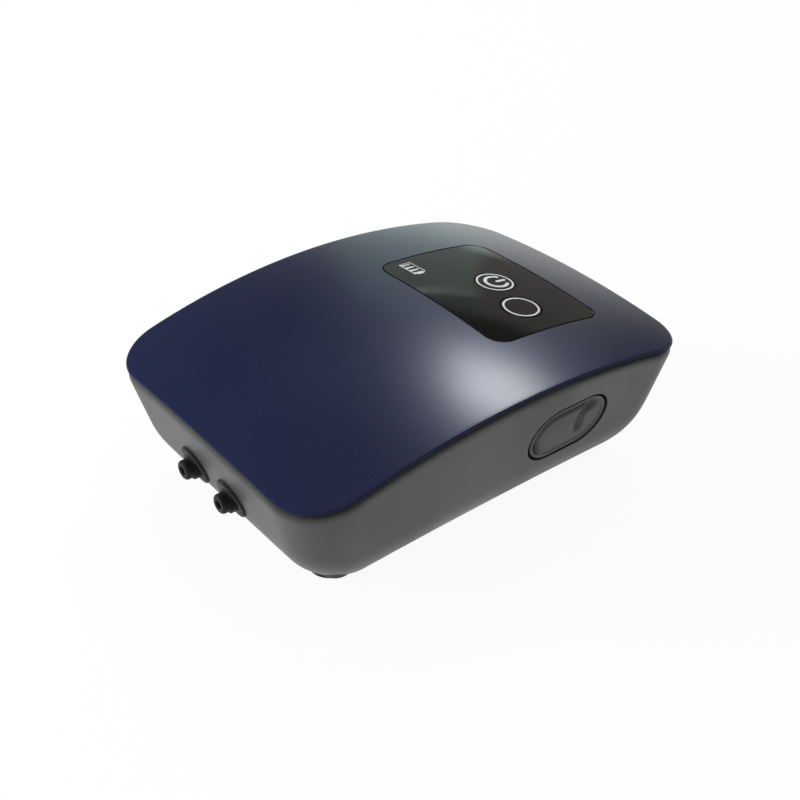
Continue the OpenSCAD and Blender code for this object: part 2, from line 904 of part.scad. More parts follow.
// Outlet with a flange along the wall, level hose stub with a root ring outside and tail inside, bored through
module outlet(side) {
    round_r = 0.8;
    color([0.1, 0.1, 0.1])
        difference() {
            union() {
                at_outlet(side, 0)
                    rotate_extrude() {
                        translate([0, -flange_t])
                            square([outlet_d / 2, flange_t + outlet_l - round_r]);
                        square([outlet_d / 2 + root_w, root_l]);
                        square([outlet_d / 2 - round_r, outlet_l]);
                        translate([outlet_d / 2 - round_r, outlet_l - round_r])
                            circle(r = round_r);
                        translate([0, -tail_l])
                            square([tail_r, tail_l]);
                        translate([0, -flange_t - collar_l])
                            square([tail_r + collar_w, collar_l + 1]);
                    }
                at_outlet(side, flange_tilt)
                    translate([0, 0, -flange_t])
                        cylinder(h = flange_t, d = flange_d);
            }
            at_outlet(side, 0)
                translate([0, 0, -tail_l - 1])
                    cylinder(h = tail_l + outlet_l + 2, d = outlet_bore);
        }
}

module outlet_1() {
    outlet(1);
}

module outlet_2() {
    outlet(-1);
}

// Silicone hose with an S-bend from the valve chamber to the outlet
module hose(side) {
    x0 = dia_x - chamber_l / 2 - 0.2;
    x1 = x0 - spigot_l + 0.2;
    x2 = tail_x - 0.4;
    x3 = flange_x + flange_t + collar_l + 0.2;
    y0 = spigot_y;
    y1 = outlet_pitch / 2;
    pull = (x1 - x2) / 2;
    bend = curve([[x1, y0, 0], [x1 - pull, y0, 0], [x2 + pull, y1, 0], [x2, y1, 0]], hose_n);
    color([0.85, 0.87, 0.88])
        mirror([0, side > 0 ? 0 : 1, 0])
            translate([0, 0, outlet_z])
                difference() {
                    sweep(concat([[x0, y0, 0]], bend, [[x3, y1, 0]]), hose_r, hose_sides, [0, 0, 1]);
                    sweep(concat([[x0 + 1, y0, 0]], bend, [[x3 - 1, y1, 0]]), hose_bore, hose_sides, [0, 0, 1]);
                }
}

module hose_1() {
    hose(1);
}

module hose_2() {
    hose(-1);
}

module pump_frame() {
    lug_l = 6;
    lug_hw = 10;
    shoulder = drive_z - arm_h / 2 - free;
    color("gainsboro")
        difference() {
            union() {
                translate([frame_x0, -frame_hw, frame_z])
                    cube([frame_x1 - frame_x0, 2 * frame_hw, frame_t]);
                translate([frame_x0 - lug_l, -lug_hw, frame_z])
                    cube([lug_l + 1, 2 * lug_hw, frame_t]);
                for (sy = [-1, 1]) {
                    translate([pivot_x, sy * arm_y, frame_z])
                        cylinder(h = shoulder - frame_z, r = pivot_r + 1.3);
                    translate([pivot_x, sy * arm_y, frame_z])
                        cylinder(h = drive_z + arm_h / 2 + bridge_t + 1 - frame_z, r = pivot_r);
                    translate([pole_x + 1, sy * (core_hw - leg_out / 2) - leg_out / 2, frame_z])
                        cube([leg_l + yoke_t - 1, leg_out, core_z0 - frame_z]);
                }
            }
            for (p = iso_at, sy = [-1, 1])
                translate([p.x, sy * p.y, frame_z - 1])
                    cylinder(h = frame_t + 2, r = iso_neck + touch);
            translate([pole_x + bobbin_in - free, -bobbin_hw - free, frame_z - 1])
                cube([leg_l - 1 + 2 * free, 2 * (bobbin_hw + free), frame_t + 2]);
            for (sy = [-1, 1])
                translate([yoke_x + yoke_t / 2, sy * strap_screw, frame_z - 1])
                    cylinder(h = frame_t + 2, r = mini_pilot);
            for (sx = [-1, 1], sy = [-1, 1])
                translate([dia_x + sx * chamber_screw, sy * (chamber_y + chamber_d / 2), frame_z - 1])
                    cylinder(h = frame_t + 2, r = mini_hole);
        }
}

// Rubber pads between the tub's floor and the frame, each with a neck in the frame's hole
module pump_isolators() {
    color([0.15, 0.15, 0.15])
        for (p = iso_at, sy = [-1, 1])
            translate([p.x, sy * p.y, floor_z + touch]) {
                cylinder(h = frame_z - floor_z - 2 * touch, r = iso_r);
                cylinder(h = deck_z - floor_z - 4 * touch, r = iso_neck);
            }
}

// Laminated E-core with its legs toward the magnets
module coil_core() {
    color("slategray")
        translate([0, 0, core_z0])
            linear_extrude(stack_h) {
                translate([yoke_x, -core_hw])
                    square([yoke_t, 2 * core_hw]);
                translate([pole_x, -leg_mid / 2])
                    square([leg_l + 1, leg_mid]);
                for (sy = [-1, 1])
                    translate([pole_x, sy * (core_hw - leg_out / 2) - leg_out / 2])
                        square([leg_l + 1, leg_out]);
            }
}

module coil_bobbin() {
    l = leg_l - 1;
    hw = leg_mid / 2 + fit;
    hh = stack_h / 2 + fit;
    color("ivory")
        translate([pole_x + bobbin_in, 0, drive_z])
            rotate([90, 0, 90])
                difference() {
                    union() {
                        linear_extrude(l)
                            square([2 * (hw + bobbin_wall), 2 * (hh + bobbin_wall)], center = true);
                        for (x = [0, l - bobbin_flange])
                            translate([0, 0, x])
                                linear_extrude(bobbin_flange)
                                    round_rect(2 * bobbin_hw, 2 * bobbin_hh, 1);
                    }
                    translate([0, 0, -1])
                        linear_extrude(l + 2)
                            square([2 * hw, 2 * hh], center = true);
                }
}

module coil_winding() {
    l = leg_l - 1 - 2 * bobbin_flange - 0.1;
    hw = leg_mid / 2 + fit + bobbin_wall + touch;
    hh = stack_h / 2 + fit + bobbin_wall + touch;
    color("chocolate")
        translate([pole_x + bobbin_in + bobbin_flange + touch, 0, drive_z])
            rotate([90, 0, 90])
                linear_extrude(l)
                    difference() {
                        round_rect(2 * (bobbin_hw - 0.6), 2 * (bobbin_hh - 0.6), 3);
                        square([2 * hw, 2 * hh], center = true);
                    }
}

// Steel strap that holds the core's yoke down on the frame
module core_strap() {
    foot = 5;
    top = core_z0 + stack_h + touch;
    side = core_hw + 0.3;
    color("silver")
        translate([yoke_x + (yoke_t - strap_w) / 2, 0, 0])
            difference() {
                union() {
                    translate([0, -side - strap_t, top])
                        cube([strap_w, 2 * (side + strap_t), strap_t]);
                    for (sy = [-1, 1]) {
                        translate([0, sy * (side + strap_t / 2) - strap_t / 2, deck_z])
                            cube([strap_w, strap_t, top - deck_z + strap_t]);
                        translate([0, sy * (side + foot / 2) - foot / 2, deck_z])
                            cube([strap_w, foot, strap_t]);
                    }
                }
                for (sy = [-1, 1])
                    translate([strap_w / 2, sy * strap_screw, deck_z - 1])
                        cylinder(h = strap_t + 2, r = mini_hole);
            }
}

// Swinging arm: eye at the pivot, pad for the diaphragm, plate for the magnet
magnet_x0 = pole_x - magnet_gap - magnet_t;
module arm(side) {
    z0 = drive_z - arm_h / 2;
    pad = cup_face - touch;
    color("whitesmoke")
        mirror([0, side > 0 ? 0 : 1, 0])
            difference() {
                union() {
                    translate([pivot_x, arm_y - arm_t / 2, z0])
                        cube([magnet_x0 - pivot_x, arm_t, arm_h]);
                    translate([pivot_x, arm_y, z0])
                        cylinder(h = arm_h, r = eye_r);
                    translate([magnet_x0 - holder_t, arm_y - magnet_w / 2 - fit, drive_z - magnet_h / 2 - fit])
                        cube([holder_t - touch, magnet_w + 2 * fit, magnet_h + 2 * fit]);
                    translate([dia_x, arm_y, drive_z])
                        rotate([-90, 0, 0])
                            cylinder(h = pad, r = 3);
                    translate([dia_x, arm_y, drive_z])
                        rotate([-90, 0, 0])
                            cylinder(h = pad + cup_t + 1.4, r = stud_r);
                }
                translate([pivot_x, arm_y, z0 - 1])
                    cylinder(h = arm_h + 2, r = bush_r);
            }
}

module arm_1() {
    arm(1);
}

module arm_2() {
    arm(-1);
}

module arm_bush(side) {
    color([0.15, 0.15, 0.15])
        translate([pivot_x, side * arm_y, drive_z - arm_h / 2])
            difference() {
                cylinder(h = arm_h, r = bush_r - 0.02);
                translate([0, 0, -1])
                    cylinder(h = arm_h + 2, r = pivot_r + touch);
            }
}

module arm_bush_1() {
    arm_bush(1);
}

module arm_bush_2() {
    arm_bush(-1);
}

module magnet(side) {
    color("gray")
        translate([magnet_x0, side * arm_y - magnet_w / 2, drive_z - magnet_h / 2])
            cube([magnet_t, magnet_w, magnet_h]);
}

module magnet_1() {
    magnet(1);
}

module magnet_2() {
    magnet(-1);
}

// Disc and nut that clamp the diaphragm's middle to the arm's stud
module clamp(side) {
    y0 = arm_y + cup_face + cup_t + touch;
    color("silver")
        mirror([0, side > 0 ? 0 : 1, 0])
            translate([dia_x, y0, drive_z])
                rotate([-90, 0, 0])
                    difference() {
                        union() {
                            cylinder(h = 0.6, r = 3.5);
                            cylinder(h = 1.2, r = 2.2);
                        }
                        translate([0, 0, -1])
                            cylinder(h = 4, r = stud_r + 0.02);
                    }
}

module clamp_1() {
    clamp(1);
}

module clamp_2() {
    clamp(-1);
}

module pivot_bridge() {
    color("gainsboro")
        translate([0, 0, drive_z + arm_h / 2 + free])
            difference() {
                translate([pivot_x - bridge_l / 2, -arm_y - bridge_end, 0])
                    cube([bridge_l, 2 * (arm_y + bridge_end), bridge_t]);
                for (sy = [-1, 1])
                    translate([pivot_x, sy * arm_y, -1])
                        cylinder(h = bridge_t + 2, r = pivot_r + 0.02);
            }
}

// Rubber cup stretched over the chamber's rim, with a rolled ring in its face
module diaphragm(side) {
    skirt = chamber_y - arm_y - cup_face - 0.6;
    color([0.2, 0.2, 0.2])
        mirror([0, side > 0 ? 0 : 1, 0])
            translate([dia_x, arm_y + cup_face, drive_z])
                rotate([-90, 0, 0])
                    rotate_extrude()
                        difference() {
                            union() {
                                translate([stud_r + touch, 0])
                                    square([cup_r - stud_r - touch, cup_t]);
                                translate([rim_tube + touch, 0])
                                    square([cup_r - rim_tube - touch, skirt]);
                                translate([5.2, cup_t * 0.5])
                                    circle(r = 0.9);
                            }
                            translate([5.2, -0.5])
                                circle(r = 0.6);
                        }
}

module diaphragm_1() {
    diaphragm(1);
}

module diaphragm_2() {
    diaphragm(-1);
}

// Valve chamber: rim for the cup, valve wall, intake and pressure rooms, hose spigot
module chamber(side) {
    rim_y = arm_y + cup_face + cup_t + 0.4;
    x0 = dia_x - chamber_l / 2;
    h = chamber_top - deck_z;
    room_y = valve_y + valve_wall;
    room_d = chamber_d + chamber_y - room_y + 1;
    color("lightgray")
        mirror([0, side > 0 ? 0 : 1, 0])
            difference() {
                union() {
                    translate([x0, chamber_y, deck_z])
                        cube([chamber_l, chamber_d, h]);
                    translate([dia_x, rim_y, drive_z])
                        rotate([-90, 0, 0])
                            cylinder(h = chamber_y - rim_y + 1, r = rim_tube);
                    translate([x0 - spigot_l, spigot_y, outlet_z])
                        rotate([0, 90, 0])
                            cylinder(h = spigot_l + 1, r = tail_r);
                }
                translate([dia_x, rim_y - 1, drive_z])
                    rotate([-90, 0, 0])
                        cylinder(h = valve_y - rim_y + 1, r = rim_bore);
                for (sx = [-1, 1])
                    translate([dia_x + sx * 5.2 - 4, room_y, drive_z - 5])
                        cube([8, room_d, 10]);
                for (sx = [-1, 1])
                    translate([dia_x + sx * valve_at, valve_y - 1, drive_z])
                        rotate([-90, 0, 0])
                            cylinder(h = 4, r = 1);
                translate([x0 - spigot_l - 1, spigot_y, outlet_z])
                    rotate([0, 90, 0])
                        cylinder(h = spigot_l + 6, r = 1.1);
                translate([dia_x + 5.2, room_y + 4, drive_z])
                    cylinder(h = 12, r = 1.5);
                for (sx = [-1, 1])
                    translate([dia_x + sx * chamber_screw, chamber_y + chamber_d / 2, deck_z - 1])
                        cylinder(h = 4, r = mini_pilot);
            }
}

module chamber_1() {
    chamber(1);
}

module chamber_2() {
    chamber(-1);
}

module chamber_cover(side) {
    h = chamber_top - deck_z;
    color("gainsboro")
        mirror([0, side > 0 ? 0 : 1, 0])
            translate([dia_x, chamber_y + chamber_d + touch, deck_z + h / 2])
                rotate([-90, 0, 0])
                    linear_extrude(cover_plate)
                        round_rect(chamber_l, h, 2);
}

module chamber_cover_1() {
    chamber_cover(1);
}

module chamber_cover_2() {
    chamber_cover(-1);
}

// Rubber flaps over the valve holes: intake flaps inside the cup, pressure flaps in the rooms
module valve_flaps() {
    t = 0.5;
    r = 2;
    color([0.2, 0.2, 0.2])
        for (side = [-1, 1])
            mirror([0, side > 0 ? 0 : 1, 0]) {
                translate([dia_x + valve_at, valve_y - touch, drive_z])
                    rotate([90, 0, 0])
                        cylinder(h = t, r = r);
                translate([dia_x - valve_at, valve_y + valve_wall + touch, drive_z])
                    rotate([-90, 0, 0])
                        cylinder(h = t, r = r);
            }
}

module battery_cells() {
    color("steelblue")
        for (x = cell_x)
            translate([x, cell_l / 2, cell_z])
                rotate([90, 0, 0])
                    cylinder(h = cell_l, d = cell_d);
}

module battery_cradle() {
    color("gainsboro")
        difference() {
            union() {
                translate([cradle_x0, -saddle_y - saddle_t / 2, floor_z])
                    cube([cradle_x1 - cradle_x0 - 3, 2 * saddle_y + saddle_t, cradle_t]);
                for (sy = [-1, 1])
                    translate([cradle_x0, sy * saddle_y - saddle_t / 2, floor_z + 1])
                        cube([cradle_x1 - cradle_x0, saddle_t, saddle_z - floor_z - 1]);
            }
            for (x = cell_x)
                translate([x, cell_l, cell_z])
                    rotate([90, 0, 0])
                        cylinder(h = 2 * cell_l, d = cell_d + 2 * touch);
            translate([cradle_x1 - bevel_in, -cell_l, floor_z])
                rotate([0, bevel_tilt, 0])
                    translate([0, 0, -cell_d])
                        cube([2 * cell_d, 2 * cell_l, cell_d]);
        }
}

module battery_tabs() {
    color("silver")
        for (sy = [-1, 1])
            translate([(cell_x[0] + cell_x[1]) / 2, sy * (cell_l / 2 + touch + tab_t / 2), cell_z])
                cube([cell_x[1] - cell_x[0] + 2 * tab_over, tab_t, tab_h], center = true);
}

// Wires end at the plugs under the control board
plug_z = board_top - board_t - plug_h;
module battery_leads() {
    y0 = cell_l / 2 + 2 * touch + tab_t + wire_r;
    color("firebrick")
        for (i = [-1, 1]) {
            end = panel_pt([plugs[0].x + i * 1.5, plugs[0].y, plug_z - 2 * slide]);
            x0 = cell_x[0] - 2.5 + i * 1.5;
            wire([[x0, y0, cell_z + 1], [x0, y0 + 2.5, cell_z + 18], [end.x, end.y, end.z - 4.5], end]);
        }
}

module coil_leads() {
    x0 = pole_x + bobbin_in + leg_l - 1 - bobbin_flange / 2;
    z0 = drive_z + bobbin_hh + slide;
    color("black")
        for (i = [-1, 1]) {
            end = panel_pt([plugs[1].x, plugs[1].y + i * 1.5, plug_z - 2 * slide]);
            wire([[x0, i * 3, z0], [x0, i * 3, z0 + 6], [end.x, end.y, end.z - 3], end]);
        }
}

module charge_leads() {
    color("firebrick")
        for (i = [-1, 1]) {
            p = port_pt([i * 1.5 + 1, -socket_h / 2 + slide, -port_deep - cboard_d + 1.2]);
            end = panel_pt([plugs[2].x + i * 1.5, plugs[2].y, plug_z - 2 * slide]);
            wire([p, port_pt([i * 1.5 + 1, 2, -port_deep - cboard_d + 1.2]), [end.x, end.y, end.z - 3], end]);
        }
}

module intake_filter() {
    color([0.25, 0.28, 0.3])
        translate([intake_x - filter_l / 2, -filter_w / 2, floor_z + touch])
            cube([filter_l, filter_w, filter_h]);
}

// Feet that follow the underside, each with a peg in the housing
module rubber_feet() {
    color([0.12, 0.12, 0.12]) {
        difference() {
            at_corners(foot_x, foot_y)
                cylinder(h = foot_pad_z, r = foot_r);
            tub_solid(-touch);
        }
        at_corners(foot_x, foot_y)
            cylinder(h = foot_peg_z, r = foot_peg_r);
    }
}

module housing_screws() {
    color("silver")
        at_corners(post_x, post_y)
            difference() {
                union() {
                    translate([0, 0, head_z - head_h - touch])
                        cylinder(h = head_h, r = head_r);
                    translate([0, 0, head_z - 1])
                        cylinder(h = split_z - head_z + screw_up, r = pilot_r - 0.05);
                }
                translate([0, 0, head_z - head_h - 1])
                    linear_extrude(2) {
                        square([3.4, 0.9], center = true);
                        square([0.9, 3.4], center = true);
                    }
            }
}

// Screws of the core strap and of the valve chambers
module pump_screws() {
    color("silver") {
        for (sy = [-1, 1])
            translate([yoke_x + yoke_t / 2, sy * strap_screw, 0]) {
                translate([0, 0, deck_z + strap_t + touch])
                    cylinder(h = mini_head_h, r = mini_head_r);
                translate([0, 0, frame_z + free])
                    cylinder(h = frame_t + strap_t, r = mini_r);
            }
        for (sx = [-1, 1], sy = [-1, 1])
            translate([dia_x + sx * chamber_screw, sy * (chamber_y + chamber_d / 2), 0]) {
                translate([0, 0, frame_z - mini_head_h - touch])
                    cylinder(h = mini_head_h, r = mini_head_r);
                translate([0, 0, frame_z - 0.2])
                    cylinder(h = frame_t + 2.4, r = mini_r);
            }
    }
}

base_housing();
top_cover();
panel_lens();
level_bars();
power_key();
pulse_key();
power_plunger();
pulse_plunger();
control_board();
key_switches();
level_leds();
board_parts();
board_screws();
port_block();
port_cover();
charge_socket();
charge_board();
outlet_1();
outlet_2();
hose_1();
hose_2();
pump_frame();
pump_isolators();
coil_core();
coil_bobbin();
coil_winding();
core_strap();
arm_1();
arm_2();
arm_bush_1();
arm_bush_2();
magnet_1();
magnet_2();
clamp_1();
clamp_2();
pivot_bridge();
diaphragm_1();
diaphragm_2();
chamber_1();
chamber_2();
chamber_cover_1();
chamber_cover_2();
valve_flaps();
battery_cells();
battery_cradle();
battery_tabs();
battery_leads();
coil_leads();
charge_leads();
intake_filter();
rubber_feet();
housing_screws();
pump_screws();
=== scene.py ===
"""Looks of a rechargeable twin-outlet air pump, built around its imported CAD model."""

import math

import bmesh
import bpy
from bpy.props import FloatProperty, FloatVectorProperty, IntProperty, PointerProperty
from mathutils import Matrix, Vector


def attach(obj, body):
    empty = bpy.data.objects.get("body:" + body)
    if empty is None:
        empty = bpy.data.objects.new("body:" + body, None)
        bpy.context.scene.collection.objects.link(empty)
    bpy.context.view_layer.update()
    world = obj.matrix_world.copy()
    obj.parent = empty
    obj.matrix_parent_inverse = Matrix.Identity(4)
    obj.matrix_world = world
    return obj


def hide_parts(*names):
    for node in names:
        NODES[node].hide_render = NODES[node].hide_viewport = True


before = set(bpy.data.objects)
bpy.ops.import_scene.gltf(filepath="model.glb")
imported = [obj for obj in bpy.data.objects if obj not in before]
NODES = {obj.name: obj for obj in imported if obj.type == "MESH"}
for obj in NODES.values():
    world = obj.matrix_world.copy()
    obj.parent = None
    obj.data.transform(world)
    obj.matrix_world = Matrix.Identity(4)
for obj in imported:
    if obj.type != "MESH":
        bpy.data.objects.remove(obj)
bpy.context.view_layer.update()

bl_info = {
    "name": "Air Pump Looks",
    "version": (1, 0, 0),
    "blender": (4, 5, 0),
    "location": "View3D > Sidebar > Air Pump",
    "description": "Builds the pieces, finishes and stage of a rechargeable air pump",
    "category": "Object",
}

MM = 0.001
WHITE = (1, 1, 1, 1)
# Distance in metres below which two points count as one
TOUCH = 1e-6
# Upward part of a normal below which a face of the lid counts as its side, which gets a darker copy of the
# lid paint as painted shade
LID_SHADED_SIDE = 0.6
# Ends of the key and light holes, from the panel's middle
HOLE_LOW = -6 * MM
HOLE_HIGH = 2 * MM
# Pilot holes of the board screws, with their ends from the panel's middle
BOARD_PILOT_R = 0.8 * MM
BOARD_PILOT_LOW = -11 * MM
BOARD_PILOT_HIGH = -4.5 * MM
# Pilot holes of the housing screws, with their ends from the floor
POST_PILOT_R = 1.2 * MM
POST_PILOT_LOW = 23 * MM
POST_PILOT_HIGH = 35 * MM
# Depth below the panel's surface at which a filled printed mark starts
PRINT_ROOT = 0.02 * MM


def length(name, description, value):
    """A size in millimetres as a length property."""
    return FloatProperty(name=name, description=description, default=value * MM, unit="LENGTH", precision=5)


def angle(name, description, value):
    """An angle in degrees as an angle property."""
    return FloatProperty(name=name, description=description, default=math.radians(value), unit="ROTATION")


def colour(name, description, value):
    """A linear colour property."""
    return FloatVectorProperty(name=name, description=description, default=value, subtype="COLOR",
                               size=3, min=0, max=1)


def number(name, description, value, unit="NONE"):
    """A share, strength, power or focal length as a property."""
    return FloatProperty(name=name, description=description, default=value, unit=unit)


def whole(name, description, value, lowest):
    """A whole number as a property."""
    return IntProperty(name=name, description=description, default=value, min=lowest)


class HousingSizes(bpy.types.PropertyGroup):
    """Shape of the tub and the lid"""

    plan_l: length("Length", "Length of the tub outline at the reference height", 127.9)
    plan_w: length("Width", "Width of the tub outline at the reference height", 94.8)
    plan_z: length("Reference height", "Height at which the outline is measured", 40.4)
    crown_z: length("Crown height", "Height of the lid's crown above the floor", 46.7)
    arch_rx: length("Arch along", "Radius of the lid's arch along the length", 204)
    arch_ry: length("Arch across", "Radius of the lid's arch across the width", 357)
    corner_r: length("Corner radius", "Plan radius of the corners at the reference height", 14.9)
    corner_taper: number("Corner taper", "Share of a wall's run inward that the corner radius loses", 0.37)
    draft_side: angle("Side draft", "Draft of the long walls", 13)
    draft_end: angle("End draft", "Draft of the end walls", 13.4)
    bilge_side: length("Side turn", "Radius that turns the long walls under", 19.7)
    bilge_end: length("End turn", "Radius that turns the end walls under", 25.1)
    side_bow: length("Side bow", "Outward bow of the long walls in plan", -0.85)
    end_bow: length("End bow", "Outward bow of the end walls in plan", 0.25)
    belly_z: length("Belly height", "Height of the flat underside above the floor", 1.2)
    wall_t: length("Wall", "Wall of the tub", 2)
    lid_t: length("Lid thickness", "Thickness of the lid", 2.4)
    lid_edge: length("Lid edge", "Height of the lid's edge that shows at the side", 1.5)
    lid_in: length("Lid inset", "Distance of the lid's edge inside the rim's outline", 0.45)
    lid_round: length("Lid rounding", "Rounding of the lid's upper edge", 0.5)
    lid_lip: length("Lid lip", "Height of the lid's edge above the seam's groove", 0.75)
    lid_under: length("Lid undercut", "Depth of the groove under the lid's edge", 0.8)
    rim_round: length("Rim rounding", "Rounding of the tub's rim", 2.0)
    seam: length("Seam", "Gap between the lid and the rim", 0.1)
    tongue_t: length("Tongue", "Thickness of the lid's tongue inside the rim", 1.4)
    tongue_h: length("Tongue height", "Reach of the lid's tongue below the seam", 3)
    post_x: length("Posts along", "Screw posts from the middle, along", 46.5)
    post_y: length("Posts across", "Screw posts from the middle, across", 33)
    post_r: length("Post radius", "Radius of the tub's screw posts", 4)
    post_top: length("Post top", "Height at which post and boss meet", 24)
    boss_r: length("Boss radius", "Radius of the lid's screw bosses", 3.5)
    well_r: length("Well radius", "Radius of the wells for the screw heads", 3.15)
    well_top: length("Well top", "Height of the wells' upper ends", 11)
    foot_x: length("Feet along", "Feet from the middle, along", 42)
    foot_y: length("Feet across", "Feet from the middle, across", 24.2)
    foot_pad_z: length("Foot pads", "Height of the pads over the feet", 6.1)
    peg_r: length("Peg radius", "Radius of the sockets for the feet's pegs", 2.05)
    peg_z: length("Peg top", "Height of the sockets for the feet's pegs", 5.45)
    slot_x: length("Air slots along", "Middle of the air slots along the length", -10)
    slot_l: length("Air slot length", "Length of an air slot", 12)
    slot_w: length("Air slot width", "Width of an air slot", 1.6)
    slot_pitch: length("Air slot pitch", "Distance between air slots", 3.2)
    slot_count: whole("Air slots", "Number of air slots in the bottom", 4, 1)
    corner_n: whole("Corner steps", "Outline steps in a corner", 20, 4)
    side_n: whole("Side steps", "Outline steps along a long wall", 36, 4)
    end_n: whole("End steps", "Outline steps along an end wall", 28, 4)


class PanelSizes(bpy.types.PropertyGroup):
    """Key panel, its keys and printed signs"""

    x: length("Place along", "Middle of the panel along the length", 27.8)
    y: length("Place across", "Middle of the panel across the width", -1.8)
    l: length("Length", "Panel length along the slope of the lid", 37)
    w: length("Width", "Panel width", 50.5)
    r: length("Corner radius", "Panel corner radius", 5)
    t: length("Thickness", "Panel thickness", 1.2)
    bevel: length("Edge bevel", "Bevel of the panel's upper edge", 0.35)
    fit: length("Fit", "Gap between the panel and the lid", 0.15)
    key_d: length("Key diameter", "Diameter of the two keys", 11)
    key_gap: length("Key gap", "Gap around a key", 0.25)
    power_x: length("Power key along", "Power key from the panel's middle, along", 3.2)
    power_y: length("Power key across", "Power key from the panel's middle, across", 0.7)
    pulse_x: length("Pulse key along", "Pulse key from the panel's middle, along", -0.3)
    pulse_y: length("Pulse key across", "Pulse key from the panel's middle, across", -13.6)
    bars_x: length("Bars along", "First light bar from the panel's middle, along", -11)
    bars_y: length("Bars across", "First light bar from the panel's middle, across", 15.9)
    bar_l: length("Bar length", "Length of a light bar", 3.6)
    bar_w: length("Bar width", "Width of a light bar", 1.2)
    bar_pitch: length("Bar pitch", "Distance between light bars", 1.9)
    bar_count: whole("Bars", "Number of light bars", 4, 1)
    print_t: length("Print thickness", "Thickness of the printed signs", 0.02)
    power_ring: length("Power ring", "Outside diameter of the power key's printed ring", 10.44)
    pulse_ring: length("Pulse ring", "Outside diameter of the pulse key's printed ring", 9.95)
    ring_w: length("Ring line", "Width of the printed key rings", 0.55)
    sign_r: length("Sign radius", "Radius of the power sign", 3.05)
    sign_w: length("Sign line", "Width of the power sign's line", 0.95)
    sign_x: length("Sign along", "Power sign from the middle of its key, along", 0.5)
    sign_y: length("Sign across", "Power sign from the middle of its key, across", 0)
    frame_in: length("Frame overlap", "Reach of the printed line round the light bars over their ends", 0.15)
    frame_w: length("Frame line", "Width of the printed line round the light bars", 0.25)
    board_x: length("Board posts along", "Control board's posts from the panel's middle, along", 14.3)
    board_y: length("Board posts across", "Control board's posts from the panel's middle, across", 20.3)
    board_r: length("Board post radius", "Radius of the control board's posts", 2.5)
    board_z: length("Board post reach", "Reach of the control board's posts below the panel", 10)


class PortSizes(bpy.types.PropertyGroup):
    """Charging port and its cover flap"""

    x: length("Place along", "Middle of the port along the length", 19.5)
    z: length("Height", "Height of the middle of the port", 25)
    l: length("Length", "Length of the port opening", 27)
    h: length("Opening height", "Height of the port opening along the wall", 17.4)
    gap: length("Gap", "Gap around the flap", 0.8)
    hinge_x: length("Hinge", "Distance of the flap's hinge line from the middle of the opening", 12.95)
    flap_t: length("Flap thickness", "Thickness of the flap", 2.35)
    flap_sink: length("Flap sink", "Depth of the flap's rim below the wall", 0.12)
    flap_rim: length("Flap rim", "Width of the flat rim of the flap", 0.8)
    dish_d: length("Face depth", "Depth of the flap's face below its rim", 0.2)
    hollow_d: length("Hollow depth", "Depth of the hollow along the upper and outlet-end rim", 1.7)
    hollow_in: length("Hollow wall", "Width of the steep side of the hollow at the rim", 0.3)
    hollow_w: length("Hollow width", "Width over which the hollow runs out into the face", 2.7)
    groove_d: length("Groove depth", "Depth of the curved finger groove", 1.25)
    groove_w: length("Groove width", "Half the width of the finger groove", 2.1)
    groove_r: length("Groove radius", "Radius of the finger groove's bend", 3.6)
    groove_x: length("Groove along", "Middle of the finger groove's bend, along the flap", 8)
    groove_y: length("Groove up", "Middle of the finger groove's bend, up the flap", 0.4)


class OutletSizes(bpy.types.PropertyGroup):
    """Hose outlets on the end wall"""

    pitch: length("Pitch", "Distance between the two outlets", 16.9)
    z: length("Height", "Height of the outlets", 19.4)
    face_x: length("Flange face", "Place of the flange's face along the length", -59.797)
    d: length("Diameter", "Outside diameter of an outlet", 5.2)
    l: length("Length", "Length of an outlet in front of its flange", 3.4)
    bore: length("Bore", "Diameter of the air bore", 2.4)
    flange_d: length("Flange diameter", "Diameter of the flange", 11)
    flange_t: length("Flange thickness", "Thickness of the flange", 3)
    flange_tilt: angle("Flange tilt", "Turn of the flange along the end wall", 16.4)
    root_w: length("Root ring width", "Width of the ring at the stub's root", 0.6)
    root_l: length("Root ring length", "Length of the ring at the stub's root", 0.99)
    tail_r: length("Tail radius", "Radius of the hose tail inside", 2)
    tail_x: length("Tail end", "Place of the hose tail's end along the length", -53.5)


class FinishColours(bpy.types.PropertyGroup):
    """Colours of the outer finishes"""

    lid: colour("Lid blue", "Satin metallic paint of the lid", (0.0150, 0.0205, 0.068))
    tub: colour("Tub grey", "Moulded plastic of the tub", (0.035, 0.037, 0.035))
    panel: colour("Panel black", "Backed clear panel", (0.012, 0.011, 0.010))
    print: colour("Print white", "Printed signs and light bars", (0.80, 0.82, 0.80))
    outlet: colour("Outlet black", "Moulded outlets", (0.018, 0.018, 0.019))
    rubber: colour("Rubber black", "Feet and inner rubber parts", (0.022, 0.022, 0.022))


class StageSettings(bpy.types.PropertyGroup):
    """Camera, lamps and floor"""

    azimuth: angle("Azimuth", "Direction of the camera around the pump", -38.021)
    elevation: angle("Elevation", "Height angle of the camera", 34.966)
    roll: angle("Roll", "Roll of the camera", -0.186)
    distance: length("Distance", "Distance from the camera to its target", 350.43)
    lens: number("Lens", "Focal length for a 36 mm sensor", 58.54, "CAMERA")
    key_power: number("Key lamp", "Power of the lamp behind the pump", 1.65, "POWER")
    end_power: number("End lamp", "Power of the lamp at the outlet end", 10.0, "POWER")
    ambient: number("Ambient", "Strength of the world's light on the pump", 0.6)
    floor_white: number("Floor white", "Share of plain white in the floor", 0.93)
    dome: number("Dome", "Brightness of the reflected dome overhead", 0.03)
    wall: number("Wall", "Brightness of the reflected wall behind", 0.22)
    window: number("Window", "Brightness of the reflected window", 0.42)
    horizon: number("Horizon", "Brightness of the reflected horizon", 0.6)
    streak: number("Streak", "Brightness of the window's upper edge", 0.7)


